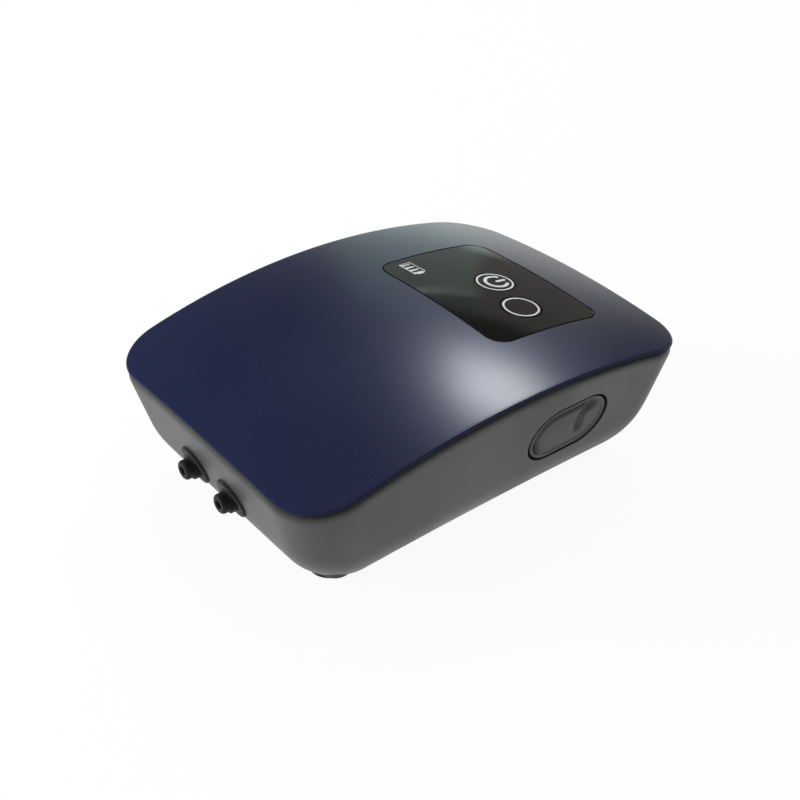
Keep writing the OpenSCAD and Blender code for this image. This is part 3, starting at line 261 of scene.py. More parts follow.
class PumpLooks(bpy.types.PropertyGroup):
    """All settings of the pump's looks"""

    housing: PointerProperty(type=HousingSizes)
    panel: PointerProperty(type=PanelSizes)
    port: PointerProperty(type=PortSizes)
    outlet: PointerProperty(type=OutletSizes)
    finish: PointerProperty(type=FinishColours)
    stage: PointerProperty(type=StageSettings)


class Hull:
    """Outline of the housing at any height and the crowned surface of the lid."""

    def __init__(self, s):
        self.s = s
        signs = [(1, -1), (1, 1), (-1, 1), (-1, -1)]
        self.outline = []
        for k, sign in enumerate(signs):
            after = signs[(k + 1) % 4]
            run = s.end_n if k % 2 == 0 else s.side_n
            turn = math.pi / 2
            for i in range(s.corner_n + 1):
                self.outline.append((sign, turn * (k - 1 + i / s.corner_n), sign, 0))
            for i in range(1, run):
                self.outline.append((sign, turn * k, after, i / run))

    def inset(self, z, draft, bilge, w):
        """Run of a wall inside the reference outline at height z, for a skin w inside the outer one."""
        turn_z = bilge * (1 - math.sin(draft))
        middle = math.tan(draft) * (self.s.plan_z - turn_z) + bilge * math.cos(draft)
        q = bilge - w
        if z >= bilge - q * math.sin(draft):
            return math.tan(draft) * (self.s.plan_z - z) + w / math.cos(draft)
        return middle - math.sqrt(max(0, q * q - (bilge - z) ** 2))

    def crown(self, x, y):
        """Height of the crowned surface above a plan point."""
        s = self.s
        across = s.arch_ry - s.arch_rx + math.sqrt(s.arch_rx**2 - x * x)
        return s.crown_z - s.arch_ry + math.sqrt(across**2 - y * y)

    def plan(self, mark, z, w):
        """Plan point of an outline mark at height z."""
        s = self.s
        sign, turn, after, share = mark
        a = s.plan_l / 2 - self.inset(z, s.draft_end, s.bilge_end, w)
        b = s.plan_w / 2 - self.inset(z, s.draft_side, s.bilge_side, w)
        run = (self.inset(z, s.draft_end, s.bilge_end, 0) + self.inset(z, s.draft_side, s.bilge_side, 0)) / 2
        r = s.corner_r - s.corner_taper * run - w
        x = (sign[0] * (1 - share) + after[0] * share) * (a - r) + r * math.cos(turn)
        y = (sign[1] * (1 - share) + after[1] * share) * (b - r) + r * math.sin(turn)
        return x + s.end_bow * (1 - (y / b) ** 2) * x / a, y + s.side_bow * (1 - (x / a) ** 2) * y / b

    def edge_z(self, mark, drop, w):
        """Height at which the wall reaches the crowned surface lowered by drop."""
        z = self.s.plan_z
        for _ in range(6):
            z = self.crown(*self.plan(mark, z, w)) - drop
        return z

    def at(self, mark, z, w):
        """Point of an outline mark at height z."""
        return Vector((*self.plan(mark, z, w), z))

    def edge_ring(self, drop, w):
        """Ring where the wall meets the crowned surface lowered by drop."""
        return [self.at(m, self.edge_z(m, drop, w), w) for m in self.outline]

    def wall_ring(self, share, z0, drop, w):
        """Ring of the wall at a share of the way from height z0 up to its edge."""
        return [self.at(m, z0 + (self.edge_z(m, drop, w) - z0) * share, w) for m in self.outline]

    def crown_ring(self, share, drop, w):
        """Ring on the lowered crowned surface, shrunk to a share of its edge."""
        ring = []
        for m in self.outline:
            x, y = (c * share for c in self.plan(m, self.edge_z(m, drop, w), w))
            ring.append(Vector((x, y, self.crown(x, y) - drop)))
        return ring


class PanelFrame:
    """Places on the panel, whose frame is turned to the slope of the lid."""

    def __init__(self, looks):
        self.s = looks.panel
        self.hull = Hull(looks.housing)
        self.tilt = math.asin(self.s.x / looks.housing.arch_rx)
        middle = Vector((self.s.x, self.s.y, self.hull.crown(self.s.x, self.s.y)))
        self.matrix = Matrix.Translation(middle) @ Matrix.Rotation(self.tilt, 4, "Y")

    def on(self, u, v, depth=0.0):
        """Point of the panel at (u, v), depth below the crowned surface."""
        w = 0.0
        for _ in range(4):
            p = self.matrix @ Vector((u, v, w))
            w += (self.hull.crown(p.x, p.y) - p.z) * math.cos(self.tilt)
        return self.matrix @ Vector((u, v, w - depth))

    def outline(self, grow):
        """Rounded outline of the panel, one place for each mark of the hull's outline."""
        r = self.s.r + grow
        a, b = self.s.l / 2 + grow - r, self.s.w / 2 + grow - r
        places = []
        for sign, turn, after, share in self.hull.outline:
            u = (sign[0] * (1 - share) + after[0] * share) * a + r * math.cos(turn)
            v = (sign[1] * (1 - share) + after[1] * share) * b + r * math.sin(turn)
            places.append((u, v))
        return places

    def ring(self, places, share, depth):
        """Points of an outline shrunk to a share, depth below the crowned surface."""
        return [self.on(u * share, v * share, depth) for u, v in places]


def port_matrix(looks):
    """Frame of the port: x along the wall, y up the wall, z out of it."""
    h, p = looks.housing, looks.port
    y = h.plan_w / 2 - math.tan(h.draft_side) * (h.plan_z - p.z)
    y += h.side_bow * (1 - (2 * p.x / h.plan_l) ** 2)
    return Matrix.Translation((p.x, -y, p.z)) @ Matrix.Rotation(math.pi / 2 + h.draft_side, 4, "X")


def smooth(value, low, high):
    """Smooth step from 0 at low to 1 at high."""
    share = min(max((value - low) / (high - low), 0), 1)
    return share * share * (3 - 2 * share)


def corners(x, y):
    """Frames of the four places at plus and minus x and y."""
    return [Matrix.Translation((sx * x, sy * y, 0)) for sx in (-1, 1) for sy in (-1, 1)]


def outlet_matrix(o, side, tilt):
    """Frame of an outlet: z points out of the end wall, turned down by tilt."""
    turn = Matrix.Rotation(-math.pi / 2 - tilt, 4, "Y")
    return Matrix.Translation((o.face_x, side * o.pitch / 2, o.z)) @ turn


def arc(count, start=0.0, end=90.0):
    """Angles from start to end, in radians."""
    return [math.radians(start + (end - start) * i / count) for i in range(count + 1)]


def circle(radius, count, centre=(0, 0)):
    """Round outline about a centre."""
    x, y = centre
    return [(x + radius * math.cos(t), y + radius * math.sin(t)) for t in arc(count, 0, 360)[:-1]]


def stadium(l, h, count=24, along=0):
    """Long oval outline, l by h, with some points along its straight sides."""
    r, half = h / 2, (l - h) / 2
    steps = [half * (1 - 2 * (i + 1) / (along + 1)) for i in range(along)]
    right = [(half + r * math.cos(t), r * math.sin(t)) for t in arc(count, -90, 90)]
    left = [(-half + r * math.cos(t), r * math.sin(t)) for t in arc(count, 90, 270)]
    return right + [(x, r) for x in steps] + left + [(-x, -r) for x in steps]


def loft(bm, rings):
    """Closed skin through rings of equal length: extruded ring by ring and filled at both ends."""
    place = bm.verts.layers.int.get("place") or bm.verts.layers.int.new("place")
    made = bmesh.ops.create_circle(bm, segments=len(rings[0]), radius=1)["verts"]
    for i, v in enumerate(made):
        v[place] = i
        v.co = rings[0][i]
    # In order of the points, so that every run gives the same mesh
    edges = list(dict.fromkeys(e for v in made for e in v.link_edges))
    bmesh.ops.edgeloop_fill(bm, edges=edges)
    for ring in rings[1:]:
        geom = bmesh.ops.extrude_edge_only(bm, edges=edges)["geom"]
        made = [g for g in geom if isinstance(g, bmesh.types.BMVert)]
        edges = [g for g in geom if isinstance(g, bmesh.types.BMEdge)]
        for v in made:
            v.co = ring[v[place]]
    bmesh.ops.edgeloop_fill(bm, edges=edges)


def prism(bm, outline, matrix, low, high):
    """Straight cutter or bar through an outline, from low to high."""
    loft(bm, [[matrix @ Vector((x, y, z)) for x, y in outline] for z in (low, high)])


def wire(bm, points):
    """Closed loop of edges through points."""
    made = [bm.verts.new(point) for point in points]
    for a, b in zip(made, made[1:] + made[:1]):
        bm.edges.new((a, b))


def new_mesh(name, bm, sharp=35.0):
    """Object from a bmesh, at the origin, smooth apart from edges past the sharp angle."""
    bmesh.ops.recalc_face_normals(bm, faces=bm.faces)
    mesh = bpy.data.meshes.new(name)
    bm.to_mesh(mesh)
    bm.free()
    mesh.shade_smooth()
    mesh.set_sharp_from_angle(angle=math.radians(sharp))
    obj = bpy.data.objects.new(name, mesh)
    bpy.context.scene.collection.objects.link(obj)
    return obj


def cut(obj, bm, operation="DIFFERENCE", sharp=35.0, crossing=False):
    """Takes a bmesh of cutters out of an object, or joins it on, for good.

    crossing is given where parts of one of the two meshes cross each other.
    """
    tool = new_mesh("cutter", bm)
    step = obj.modifiers.new("cut", "BOOLEAN")
    step.operation = operation
    step.solver = "EXACT"
    step.use_self = crossing
    step.object = tool
    graph = bpy.context.evaluated_depsgraph_get()
    mesh = bpy.data.meshes.new_from_object(obj.evaluated_get(graph))
    obj.modifiers.clear()
    old, obj.data = obj.data, mesh
    bpy.data.meshes.remove(old)
    bpy.data.objects.remove(tool)
    mesh.name = obj.name
    mesh.shade_smooth()
    mesh.set_sharp_from_angle(angle=math.radians(sharp))
    return obj


def panel_holes(looks, panel):
    """Holes of the keys and light bars through panel and lid, and the lid's pilot holes for screws."""
    h, p = looks.housing, looks.panel
    bm = bmesh.new()
    for centre in ((p.power_x, p.power_y), (p.pulse_x, p.pulse_y)):
        prism(bm, circle(p.key_d / 2 + p.key_gap, 72, centre), panel.matrix, HOLE_LOW, HOLE_HIGH)
    l, w = p.bar_l / 2 + p.fit, p.bar_w / 2 + p.fit
    for i in range(p.bar_count):
        at = panel.matrix @ Matrix.Translation((p.bars_x, p.bars_y + i * p.bar_pitch, 0))
        prism(bm, [(-l, -w), (l, -w), (l, w), (-l, w)], at, HOLE_LOW, HOLE_HIGH)
    for board, post in zip(corners(p.board_x, p.board_y), corners(h.post_x, h.post_y)):
        prism(bm, circle(BOARD_PILOT_R, 20), panel.matrix @ board, BOARD_PILOT_LOW, BOARD_PILOT_HIGH)
        prism(bm, circle(POST_PILOT_R, 24), post, POST_PILOT_LOW, POST_PILOT_HIGH)
    return bm


def finish_piece(obj, material, body, slot, *nodes):
    """Gives a piece its material and body and hides the CAD nodes it stands for; the slot is not used."""
    obj.data.materials.clear()
    obj.data.materials.append(material)
    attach(obj, body)
    if nodes:
        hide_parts(*nodes)
    return obj


def printed_mark(looks, panel, name, body, outline):
    """Filled printed mark on the panel or on a key."""
    bm = bmesh.new()
    loft(bm, [panel.ring(outline, 1, depth) for depth in (PRINT_ROOT, -looks.panel.print_t)])
    finish_piece(new_mesh(name, bm), finishes(looks)["print_white"], body, "light_white")


def printed_line(looks, panel, name, body, inner, outer):
    """Printed line on the panel or on a key, between two outlines."""
    bm = bmesh.new()
    for outline in (inner, outer):
        wire(bm, panel.ring(outline, 1, -looks.panel.print_t))
    bmesh.ops.bridge_loops(bm, edges=bm.edges[:])
    finish_piece(new_mesh(name, bm), finishes(looks)["print_white"], body, "light_white")


class Tree:
    """Short hand for building a node tree."""

    def __init__(self, tree):
        self.tree = tree

    def add(self, kind, **settings):
        """New node with some of its settings."""
        node = self.tree.nodes.new(kind)
        for key, value in settings.items():
            setattr(node, key, value)
        return node

    def set(self, node, **values):
        """Gives a node's inputs plain values."""
        for key, value in values.items():
            node.inputs[key.replace("_", " ")].default_value = value
        return node

    def link(self, source, target):
        self.tree.links.new(source, target)

    def noise(self, vector, scale, detail=3.0, roughness=0.55):
        node = self.set(self.add("ShaderNodeTexNoise"), Scale=scale, Detail=detail, Roughness=roughness)
        self.link(vector, node.inputs["Vector"])
        return node.outputs["Fac"]

    def math(self, operation, a, b):
        node = self.add("ShaderNodeMath", operation=operation)
        for socket, value in zip(node.inputs, (a, b)):
            if isinstance(value, (int, float)):
                socket.default_value = value
            else:
                self.link(value, socket)
        return node.outputs[0]

    def span(self, value, low, high, to_low, to_high):
        """Smooth change from to_low to to_high while a value goes from low to high."""
        node = self.set(self.add("ShaderNodeMapRange", interpolation_type="SMOOTHSTEP"),
                        From_Min=low, From_Max=high, To_Min=to_low, To_Max=to_high)
        self.link(value, node.inputs["Value"])
        return node.outputs["Result"]

    def blend(self, factor, first, second, kind="MIX"):
        """A linked colour mixed with a plain one by a mask."""
        node = self.add("ShaderNodeMix", data_type="RGBA", blend_type=kind)
        self.link(factor, node.inputs["Factor"])
        self.link(first, node.inputs["A"])
        node.inputs["B"].default_value = (*second, 1)
        return node.outputs["Result"]

    def seen(self):
        """1 for the rays that show the background: from the camera, from gloss and through glass."""
        path = self.add("ShaderNodeLightPath").outputs
        plain = self.math("MAXIMUM", path["Is Camera Ray"], path["Is Glossy Ray"])
        return self.math("MAXIMUM", plain, path["Is Transmission Ray"])

    def mix_shaders(self, factor, first, second, end):
        """Two shaders mixed by a mask, linked to the output node called end."""
        mix = self.add("ShaderNodeMixShader")
        self.link(factor, mix.inputs["Fac"])
        self.link(first.outputs[0], mix.inputs[1])
        self.link(second.outputs[0], mix.inputs[2])
        self.link(mix.outputs[0], self.tree.nodes[end].inputs["Surface"])


def group(name, inputs, outputs):
    """Empty shader group with named sockets; returns it, its tree, and its input and output nodes."""
    tree = bpy.data.node_groups.new(name, "ShaderNodeTree")
    for socket, kind, value in inputs:
        made = tree.interface.new_socket(socket, in_out="INPUT", socket_type=kind)
        if value is not None:
            made.default_value = value
    for socket, kind in outputs:
        tree.interface.new_socket(socket, in_out="OUTPUT", socket_type=kind)
    t = Tree(tree)
    return tree, t, t.add("NodeGroupInput"), t.add("NodeGroupOutput")


def moulded_grain():
    """Fine grain of a moulded or painted surface: height, shade and gloss."""
    if "moulded_grain" in bpy.data.node_groups:
        return bpy.data.node_groups["moulded_grain"]
    tree, t, given, out = group(
        "moulded_grain",
        [("Vector", "NodeSocketVector", None), ("Grain", "NodeSocketFloat", 2600.0),
         ("Cloud", "NodeSocketFloat", 45.0)],
        [("Height", "NodeSocketFloat"), ("Shade", "NodeSocketFloat"), ("Gloss", "NodeSocketFloat")],
    )
    fine = t.add("ShaderNodeTexNoise")
    cloud = t.add("ShaderNodeTexNoise")
    t.set(fine, Detail=2.0, Roughness=0.6)
    t.set(cloud, Detail=4.0, Roughness=0.5)
    for node, scale in ((fine, "Grain"), (cloud, "Cloud")):
        t.link(given.outputs["Vector"], node.inputs["Vector"])
        t.link(given.outputs[scale], node.inputs["Scale"])
    grains = t.math("MULTIPLY", fine.outputs["Fac"], 0.45)
    clouds = t.math("MULTIPLY", cloud.outputs["Fac"], 0.55)
    both = t.math("ADD", grains, clouds)
    t.link(fine.outputs["Fac"], out.inputs["Height"])
    t.link(t.span(both, 0.3, 0.7, 0.9, 1.1), out.inputs["Shade"])
    t.link(t.span(cloud.outputs["Fac"], 0.3, 0.7, -0.04, 0.05), out.inputs["Gloss"])
    return tree


def handling_marks():
    """Faint smudges and hairline scuffs of use: masks from 0 to 1."""
    if "handling_marks" in bpy.data.node_groups:
        return bpy.data.node_groups["handling_marks"]
    tree, t, given, out = group(
        "handling_marks",
        [("Vector", "NodeSocketVector", None), ("Spread", "NodeSocketFloat", 30.0)],
        [("Smudge", "NodeSocketFloat"), ("Scuff", "NodeSocketFloat")],
    )
    patch = t.add("ShaderNodeTexNoise")
    t.set(patch, Detail=3.0, Roughness=0.5, Distortion=0.6)
    t.link(given.outputs["Vector"], patch.inputs["Vector"])
    t.link(given.outputs["Spread"], patch.inputs["Scale"])
    stretch = t.add("ShaderNodeMapping")
    stretch.inputs["Rotation"].default_value = (0.3, 0.2, 0.9)
    stretch.inputs["Scale"].default_value = (40, 900, 300)
    t.link(given.outputs["Vector"], stretch.inputs["Vector"])
    streak = t.noise(stretch.outputs["Vector"], 1.0, 2.0)
    t.link(t.span(patch.outputs["Fac"], 0.5, 0.72, 0.0, 1.0), out.inputs["Smudge"])
    hairline = t.span(streak, 0.66, 0.74, 0.0, 1.0)
    handled = t.span(patch.outputs["Fac"], 0.45, 0.6, 0.0, 1.0)
    t.link(t.math("MULTIPLY", hairline, handled), out.inputs["Scuff"])
    return tree


def paler(base, gain, lift):
    """A colour made paler, for scuffed and rubbed places."""
    return [min(1, c * gain + lift) for c in base]


def surface(name, base, rough, grain=2600.0, cloud=45.0, bump=0.06, depth=0.02, metallic=0.0, specular=0.5,
            coat=0.0, coat_rough=0.1, shade=1.0, smudge=0.05, scuff=0.0, spread=30.0, flake=0.0, edge=0.0):
    """Procedural finish with grain, cloudy shade, smudges, scuffs, paint flake and rubbed edges."""
    mat = bpy.data.materials.new(name)
    mat.use_nodes = True
    t = Tree(mat.node_tree)
    shader = mat.node_tree.nodes["Principled BSDF"]
    place = t.add("ShaderNodeTexCoord").outputs["Object"]
    body = t.add("ShaderNodeGroup", node_tree=moulded_grain())
    t.set(body, Grain=grain, Cloud=cloud)
    marks = t.add("ShaderNodeGroup", node_tree=handling_marks())
    t.set(marks, Spread=spread)
    for node in (body, marks):
        t.link(place, node.inputs["Vector"])
    tint = t.add("ShaderNodeMix", data_type="RGBA", blend_type="MULTIPLY")
    tint.inputs["Factor"].default_value = shade
    tint.inputs["A"].default_value = (*base, 1)
    t.link(body.outputs["Shade"], tint.inputs["B"])
    out = tint.outputs["Result"]
    if flake:
        spark = t.span(t.noise(place, 5200.0, 1.0), 0.56, 0.74, 0.0, flake)
        out = t.blend(spark, out, (0.5, 0.6, 0.9), "ADD")
    if scuff:
        worn = t.math("MULTIPLY", marks.outputs["Scuff"], scuff)
        out = t.blend(worn, out, paler(base, 1.8, 0.03))
    if edge:
        point = t.add("ShaderNodeNewGeometry").outputs["Pointiness"]
        out = t.blend(t.span(point, 0.515, 0.58, 0.0, edge), out, paler(base, 2.2, 0.02))
    t.link(out, shader.inputs["Base Color"])
    gloss = t.math("ADD", body.outputs["Gloss"], t.math("MULTIPLY", marks.outputs["Smudge"], smudge))
    t.link(t.math("ADD", gloss, rough), shader.inputs["Roughness"])
    relief = t.add("ShaderNodeBump")
    t.set(relief, Strength=bump, Distance=depth * MM)
    t.link(body.outputs["Height"], relief.inputs["Height"])
    t.link(relief.outputs["Normal"], shader.inputs["Normal"])
    t.set(shader, Metallic=metallic, Specular_IOR_Level=specular, Coat_Weight=coat, Coat_Roughness=coat_rough)
    return mat


def finishes(looks):
    """All materials by name, made once."""
    if "lid_paint" in bpy.data.materials:
        return bpy.data.materials
    f = looks.finish
    surface("lid_paint", f.lid, 0.42, grain=3200, cloud=28, bump=0.05, metallic=0.25, specular=0.2, coat=1.0,
            coat_rough=0.26, flake=0.025, scuff=0.10, spread=22, shade=0.8, edge=0.1)
    # Darker copy of the lid paint without its coat, for the lid's side faces: painted shade along the lid's
    # edge
    surface("lid_edge", [c * 0.7 for c in f.lid], 0.6, grain=3200, cloud=28, bump=0.05, specular=0.12,
            scuff=0.1, spread=22)
    surface("tub_plastic", f.tub, 0.42, grain=2400, cloud=40, bump=0.10, depth=0.03, smudge=0.06, scuff=0.12,
            spread=24, edge=0.15)
    surface("flap_plastic", [c * 1.4 for c in f.tub], 0.5, grain=2400, cloud=60, bump=0.10, depth=0.03,
            specular=0.35, smudge=0.06, scuff=0.15, spread=60, edge=0.2)
    surface("panel_gloss", f.panel, 0.05, grain=900, cloud=30, bump=0.0, smudge=0.06, spread=60, scuff=0.04,
            shade=0.5)
    surface("print_white", f.print, 0.42, grain=4000, cloud=300, bump=0.03, smudge=0.1, shade=0.6)
    surface("light_bar", f.print, 0.30, grain=1500, cloud=250, bump=0.02, smudge=0.1, shade=0.6)
    surface("outlet_plastic", f.outlet, 0.5, cloud=120, bump=0.08, specular=0.15, smudge=0.1, scuff=0.15,
            spread=120, edge=0.2)
    surface("rubber_black", f.rubber, 0.72, grain=1800, cloud=150, bump=0.15, depth=0.04, specular=0.35,
            smudge=0.1, scuff=0.15, spread=90)
    surface("part_black", (0.02, 0.02, 0.021), 0.52, grain=2200, cloud=90, bump=0.1, smudge=0.06)
    surface("part_white", (0.62, 0.62, 0.58), 0.45, grain=2000, cloud=70, bump=0.08, smudge=0.06, shade=0.6)
    surface("board_green", (0.012, 0.075, 0.03), 0.32, grain=900, cloud=160, bump=0.08, coat=0.4, smudge=0.1)
    surface("led_yellow", (0.75, 0.62, 0.22), 0.22, grain=1200, cloud=400, bump=0.03, smudge=0.1)
    surface("steel_zinc", (0.58, 0.58, 0.60), 0.30, grain=1600, cloud=200, bump=0.08, metallic=1.0,
            smudge=0.15, scuff=0.3, spread=150)
    surface("core_steel", (0.30, 0.31, 0.33), 0.42, grain=1200, cloud=120, bump=0.15, metallic=1.0,
            smudge=0.15)
    surface("copper_enamel", (0.58, 0.22, 0.09), 0.28, cloud=300, bump=0.3, depth=0.06, metallic=1.0,
            coat=0.5)
    surface("magnet_grey", (0.20, 0.20, 0.21), 0.55, grain=1500, cloud=140, bump=0.2, metallic=0.6)
    surface("silicone_clear", (0.72, 0.75, 0.76), 0.38, grain=1200, cloud=90, bump=0.05, specular=0.45,
            shade=0.5)
    surface("cell_sleeve", (0.03, 0.10, 0.26), 0.28, grain=900, cloud=60, bump=0.05, coat=0.3, smudge=0.1)
    surface("wire_red", (0.42, 0.02, 0.015), 0.42, grain=1500, cloud=200, bump=0.05)
    surface("wire_black", (0.02, 0.02, 0.02), 0.42, grain=1500, cloud=200, bump=0.05)
    surface("felt_grey", (0.055, 0.062, 0.07), 0.95, grain=1100, cloud=300, bump=0.9, depth=0.25,
            specular=0.1)
    return bpy.data.materials


class Build:
    """What every building operator shares."""

    bl_options = {"REGISTER", "UNDO"}

    def execute(self, context):
        self.build(context.scene.pump_looks)
        return {"FINISHED"}


class PUMP_OT_stage(Build, bpy.types.Operator):
    """Floor, world, lamps, reflected dome and camera"""

    bl_idname = "pump.stage"
    bl_label = "Stage"

    # Point that the camera looks at, in millimetres
    target = (-0.92, -0.14, 18.72)
    # Each lamp's place and side in metres, and its tint
    key_lamp = ((0.515, 0.386, 0.712), 0.18, (0.93, 0.98, 1.0))
    end_lamp = ((-0.53, 0.46, 0.09), 0.40, (1.0, 1.0, 1.0))
    # Half the floor's side, the dome's radius and the height of its open edge, in metres
    floor_half = 3
    dome_r = 1.5
    dome_low = 0.002
    # Direction along which the reflected window's upper edge is measured
    window_up = (0.268, -0.255, 1.0)

    def build(self, looks):
        s = looks.stage
        scene = bpy.context.scene
        scene.view_settings.view_transform = "Standard"
        self.camera(scene, s)
        self.world(scene, s)
        self.floor(s)
        self.dome(s)
        self.lamp("key_lamp", *self.key_lamp, s.key_power)
        end = self.lamp("end_lamp", *self.end_lamp, s.end_power)
        end.visible_glossy = False

    def camera(self, scene, s):
        data = bpy.data.cameras.new("camera")
        data.lens = s.lens
        data.sensor_width = 36
        data.clip_start = 0.01
        a, e = s.azimuth, s.elevation
        back = Vector((math.sin(a) * math.cos(e), -math.cos(a) * math.cos(e), math.sin(e)))
        level = Vector((math.cos(a), math.sin(a), 0))
        right = level * math.cos(s.roll) + back.cross(level) * math.sin(s.roll)
        up = back.cross(right)
        target = Vector(self.target) * MM
        turn = Matrix((right, up, back)).transposed().to_4x4()
        camera = bpy.data.objects.new("camera", data)
        camera.matrix_world = Matrix.Translation(target + back * s.distance) @ turn
        scene.collection.objects.link(camera)
        scene.camera = camera

    def world(self, scene, s):
        """Even light, which is plain white where the background is seen."""
        world = bpy.data.worlds.new("studio")
        world.use_nodes = True
        t = Tree(world.node_tree)
        plain = t.set(world.node_tree.nodes["Background"], Color=WHITE, Strength=s.ambient)
        white = t.set(t.add("ShaderNodeBackground"), Color=WHITE, Strength=1.0)
        t.mix_shaders(t.seen(), plain, white, "World Output")
        scene.world = world

    def floor(self, s):
        """Pale floor, which is nearly plain white where it is seen and keeps a little of the shadow."""
        bm = bmesh.new()
        bmesh.ops.create_grid(bm, x_segments=2, y_segments=2, size=self.floor_half)
        floor = new_mesh("floor", bm)
        mat = bpy.data.materials.new("floor_white")
        mat.use_nodes = True
        t = Tree(mat.node_tree)
        shader = mat.node_tree.nodes["Principled BSDF"]
        t.set(shader, Base_Color=(0.93, 0.93, 0.93, 1), Roughness=0.9, Specular_IOR_Level=0.1)
        glow = t.set(t.add("ShaderNodeEmission"), Color=WHITE, Strength=1.0)
        t.mix_shaders(t.math("MULTIPLY", t.seen(), s.floor_white), shader, glow, "Material Output")
        floor.data.materials.append(mat)

    def dome(self, s):
        """Dark dome that only reflections see, with a brighter wall, window and horizon in it."""
        bm = bmesh.new()
        bmesh.ops.create_icosphere(bm, subdivisions=4, radius=self.dome_r)
        bmesh.ops.bisect_plane(bm, geom=bm.verts[:] + bm.edges[:] + bm.faces[:],
                               plane_co=(0, 0, self.dome_low), plane_no=(0, 0, 1), clear_inner=True)
        dome = new_mesh("dome", bm)
        mat = bpy.data.materials.new("dome_dark")
        mat.use_nodes = True
        t = Tree(mat.node_tree)
        place = t.add("ShaderNodeVectorMath", operation="NORMALIZE")
        t.link(t.add("ShaderNodeTexCoord").outputs["Object"], place.inputs[0])
        parts = t.add("ShaderNodeSeparateXYZ")
        t.link(place.outputs["Vector"], parts.inputs[0])
        level = t.add("ShaderNodeCombineXYZ")
        t.link(parts.outputs["X"], level.inputs["X"])
        t.link(parts.outputs["Y"], level.inputs["Y"])
        flat = t.add("ShaderNodeVectorMath", operation="NORMALIZE")
        t.link(level.outputs["Vector"], flat.inputs[0])

        def facing(azimuth, edge, inner):
            """Mask round an azimuth: 0 past the edge angle and 1 within the inner one, in degrees."""
            turn = math.radians(azimuth)
            dot = t.add("ShaderNodeVectorMath", operation="DOT_PRODUCT")
            dot.inputs[1].default_value = (math.cos(turn), math.sin(turn), 0)
            t.link(flat.outputs["Vector"], dot.inputs[0])
            low, high = (math.cos(math.radians(half)) for half in (edge, inner))
            return t.span(dot.outputs["Value"], low, high, 0.0, 1.0)

        window, wall = facing(50, 8.5, 6), facing(38, 11, 8)
        leaning = t.add("ShaderNodeVectorMath", operation="DOT_PRODUCT")
        leaning.inputs[1].default_value = self.window_up
        t.link(place.outputs["Vector"], leaning.inputs[0])
        lean = leaning.outputs["Value"]
        below = t.span(lean, 0.42, 0.44, 1.0, 0.0)
        fade = t.math("MULTIPLY", window, t.span(lean, 0.46, 0.54, s.wall, 0.0))
        side = t.math("MULTIPLY", wall, t.span(parts.outputs["Z"], 0.46, 0.54, s.wall, 0.0))
        low = t.span(parts.outputs["Z"], 0.13, 0.19, 1.0, 0.0)
        # The horizon is dimmer behind the outlet end and beyond the far end
        dim_outlets = t.math("MULTIPLY", facing(140, 75, 55), 0.8)
        dim_far = t.math("MULTIPLY", facing(10, 28, 18), 0.6)
        far = t.span(t.math("ADD", dim_outlets, dim_far), 0.0, 1.0, s.horizon, 0.0)
        streak = t.span(lean, 0.415, 0.43, 0.0, s.streak)
        rim = t.math("MULTIPLY", streak, t.span(lean, 0.437, 0.45, 1.0, 0.0))
        panes = t.math("ADD", t.math("MULTIPLY", below, s.window - s.wall), rim)
        back = t.math("MAXIMUM", fade, side)
        light = t.math("ADD", t.math("MULTIPLY", window, panes), back)
        light = t.math("ADD", light, t.math("MULTIPLY", low, far))
        light = t.math("ADD", light, s.dome)
        tint = t.add("ShaderNodeMix", data_type="RGBA")
        t.link(window, tint.inputs["Factor"])
        tint.inputs["A"].default_value = (1.0, 0.97, 0.92, 1)
        tint.inputs["B"].default_value = (0.80, 1.0, 0.92, 1)
        glow = t.add("ShaderNodeEmission")
        t.link(tint.outputs["Result"], glow.inputs["Color"])
        t.link(light, glow.inputs["Strength"])
        t.link(glow.outputs[0], mat.node_tree.nodes["Material Output"].inputs["Surface"])
        dome.data.materials.append(mat)
        dome.visible_camera = False
        dome.visible_diffuse = False
        dome.visible_shadow = False
        dome.visible_transmission = False

    def lamp(self, name, place, size, tint, power):
        """Square lamp at a place, turned to the pump."""
        data = bpy.data.lights.new(name, "AREA")
        data.shape = "SQUARE"
        data.size = size
        data.energy = power
        data.color = tint
        lamp = bpy.data.objects.new(name, data)
        turn = Vector(place).to_track_quat("Z", "Y").to_matrix().to_4x4()
        lamp.matrix_world = Matrix.Translation(place) @ turn
        bpy.context.scene.collection.objects.link(lamp)
        return lamp


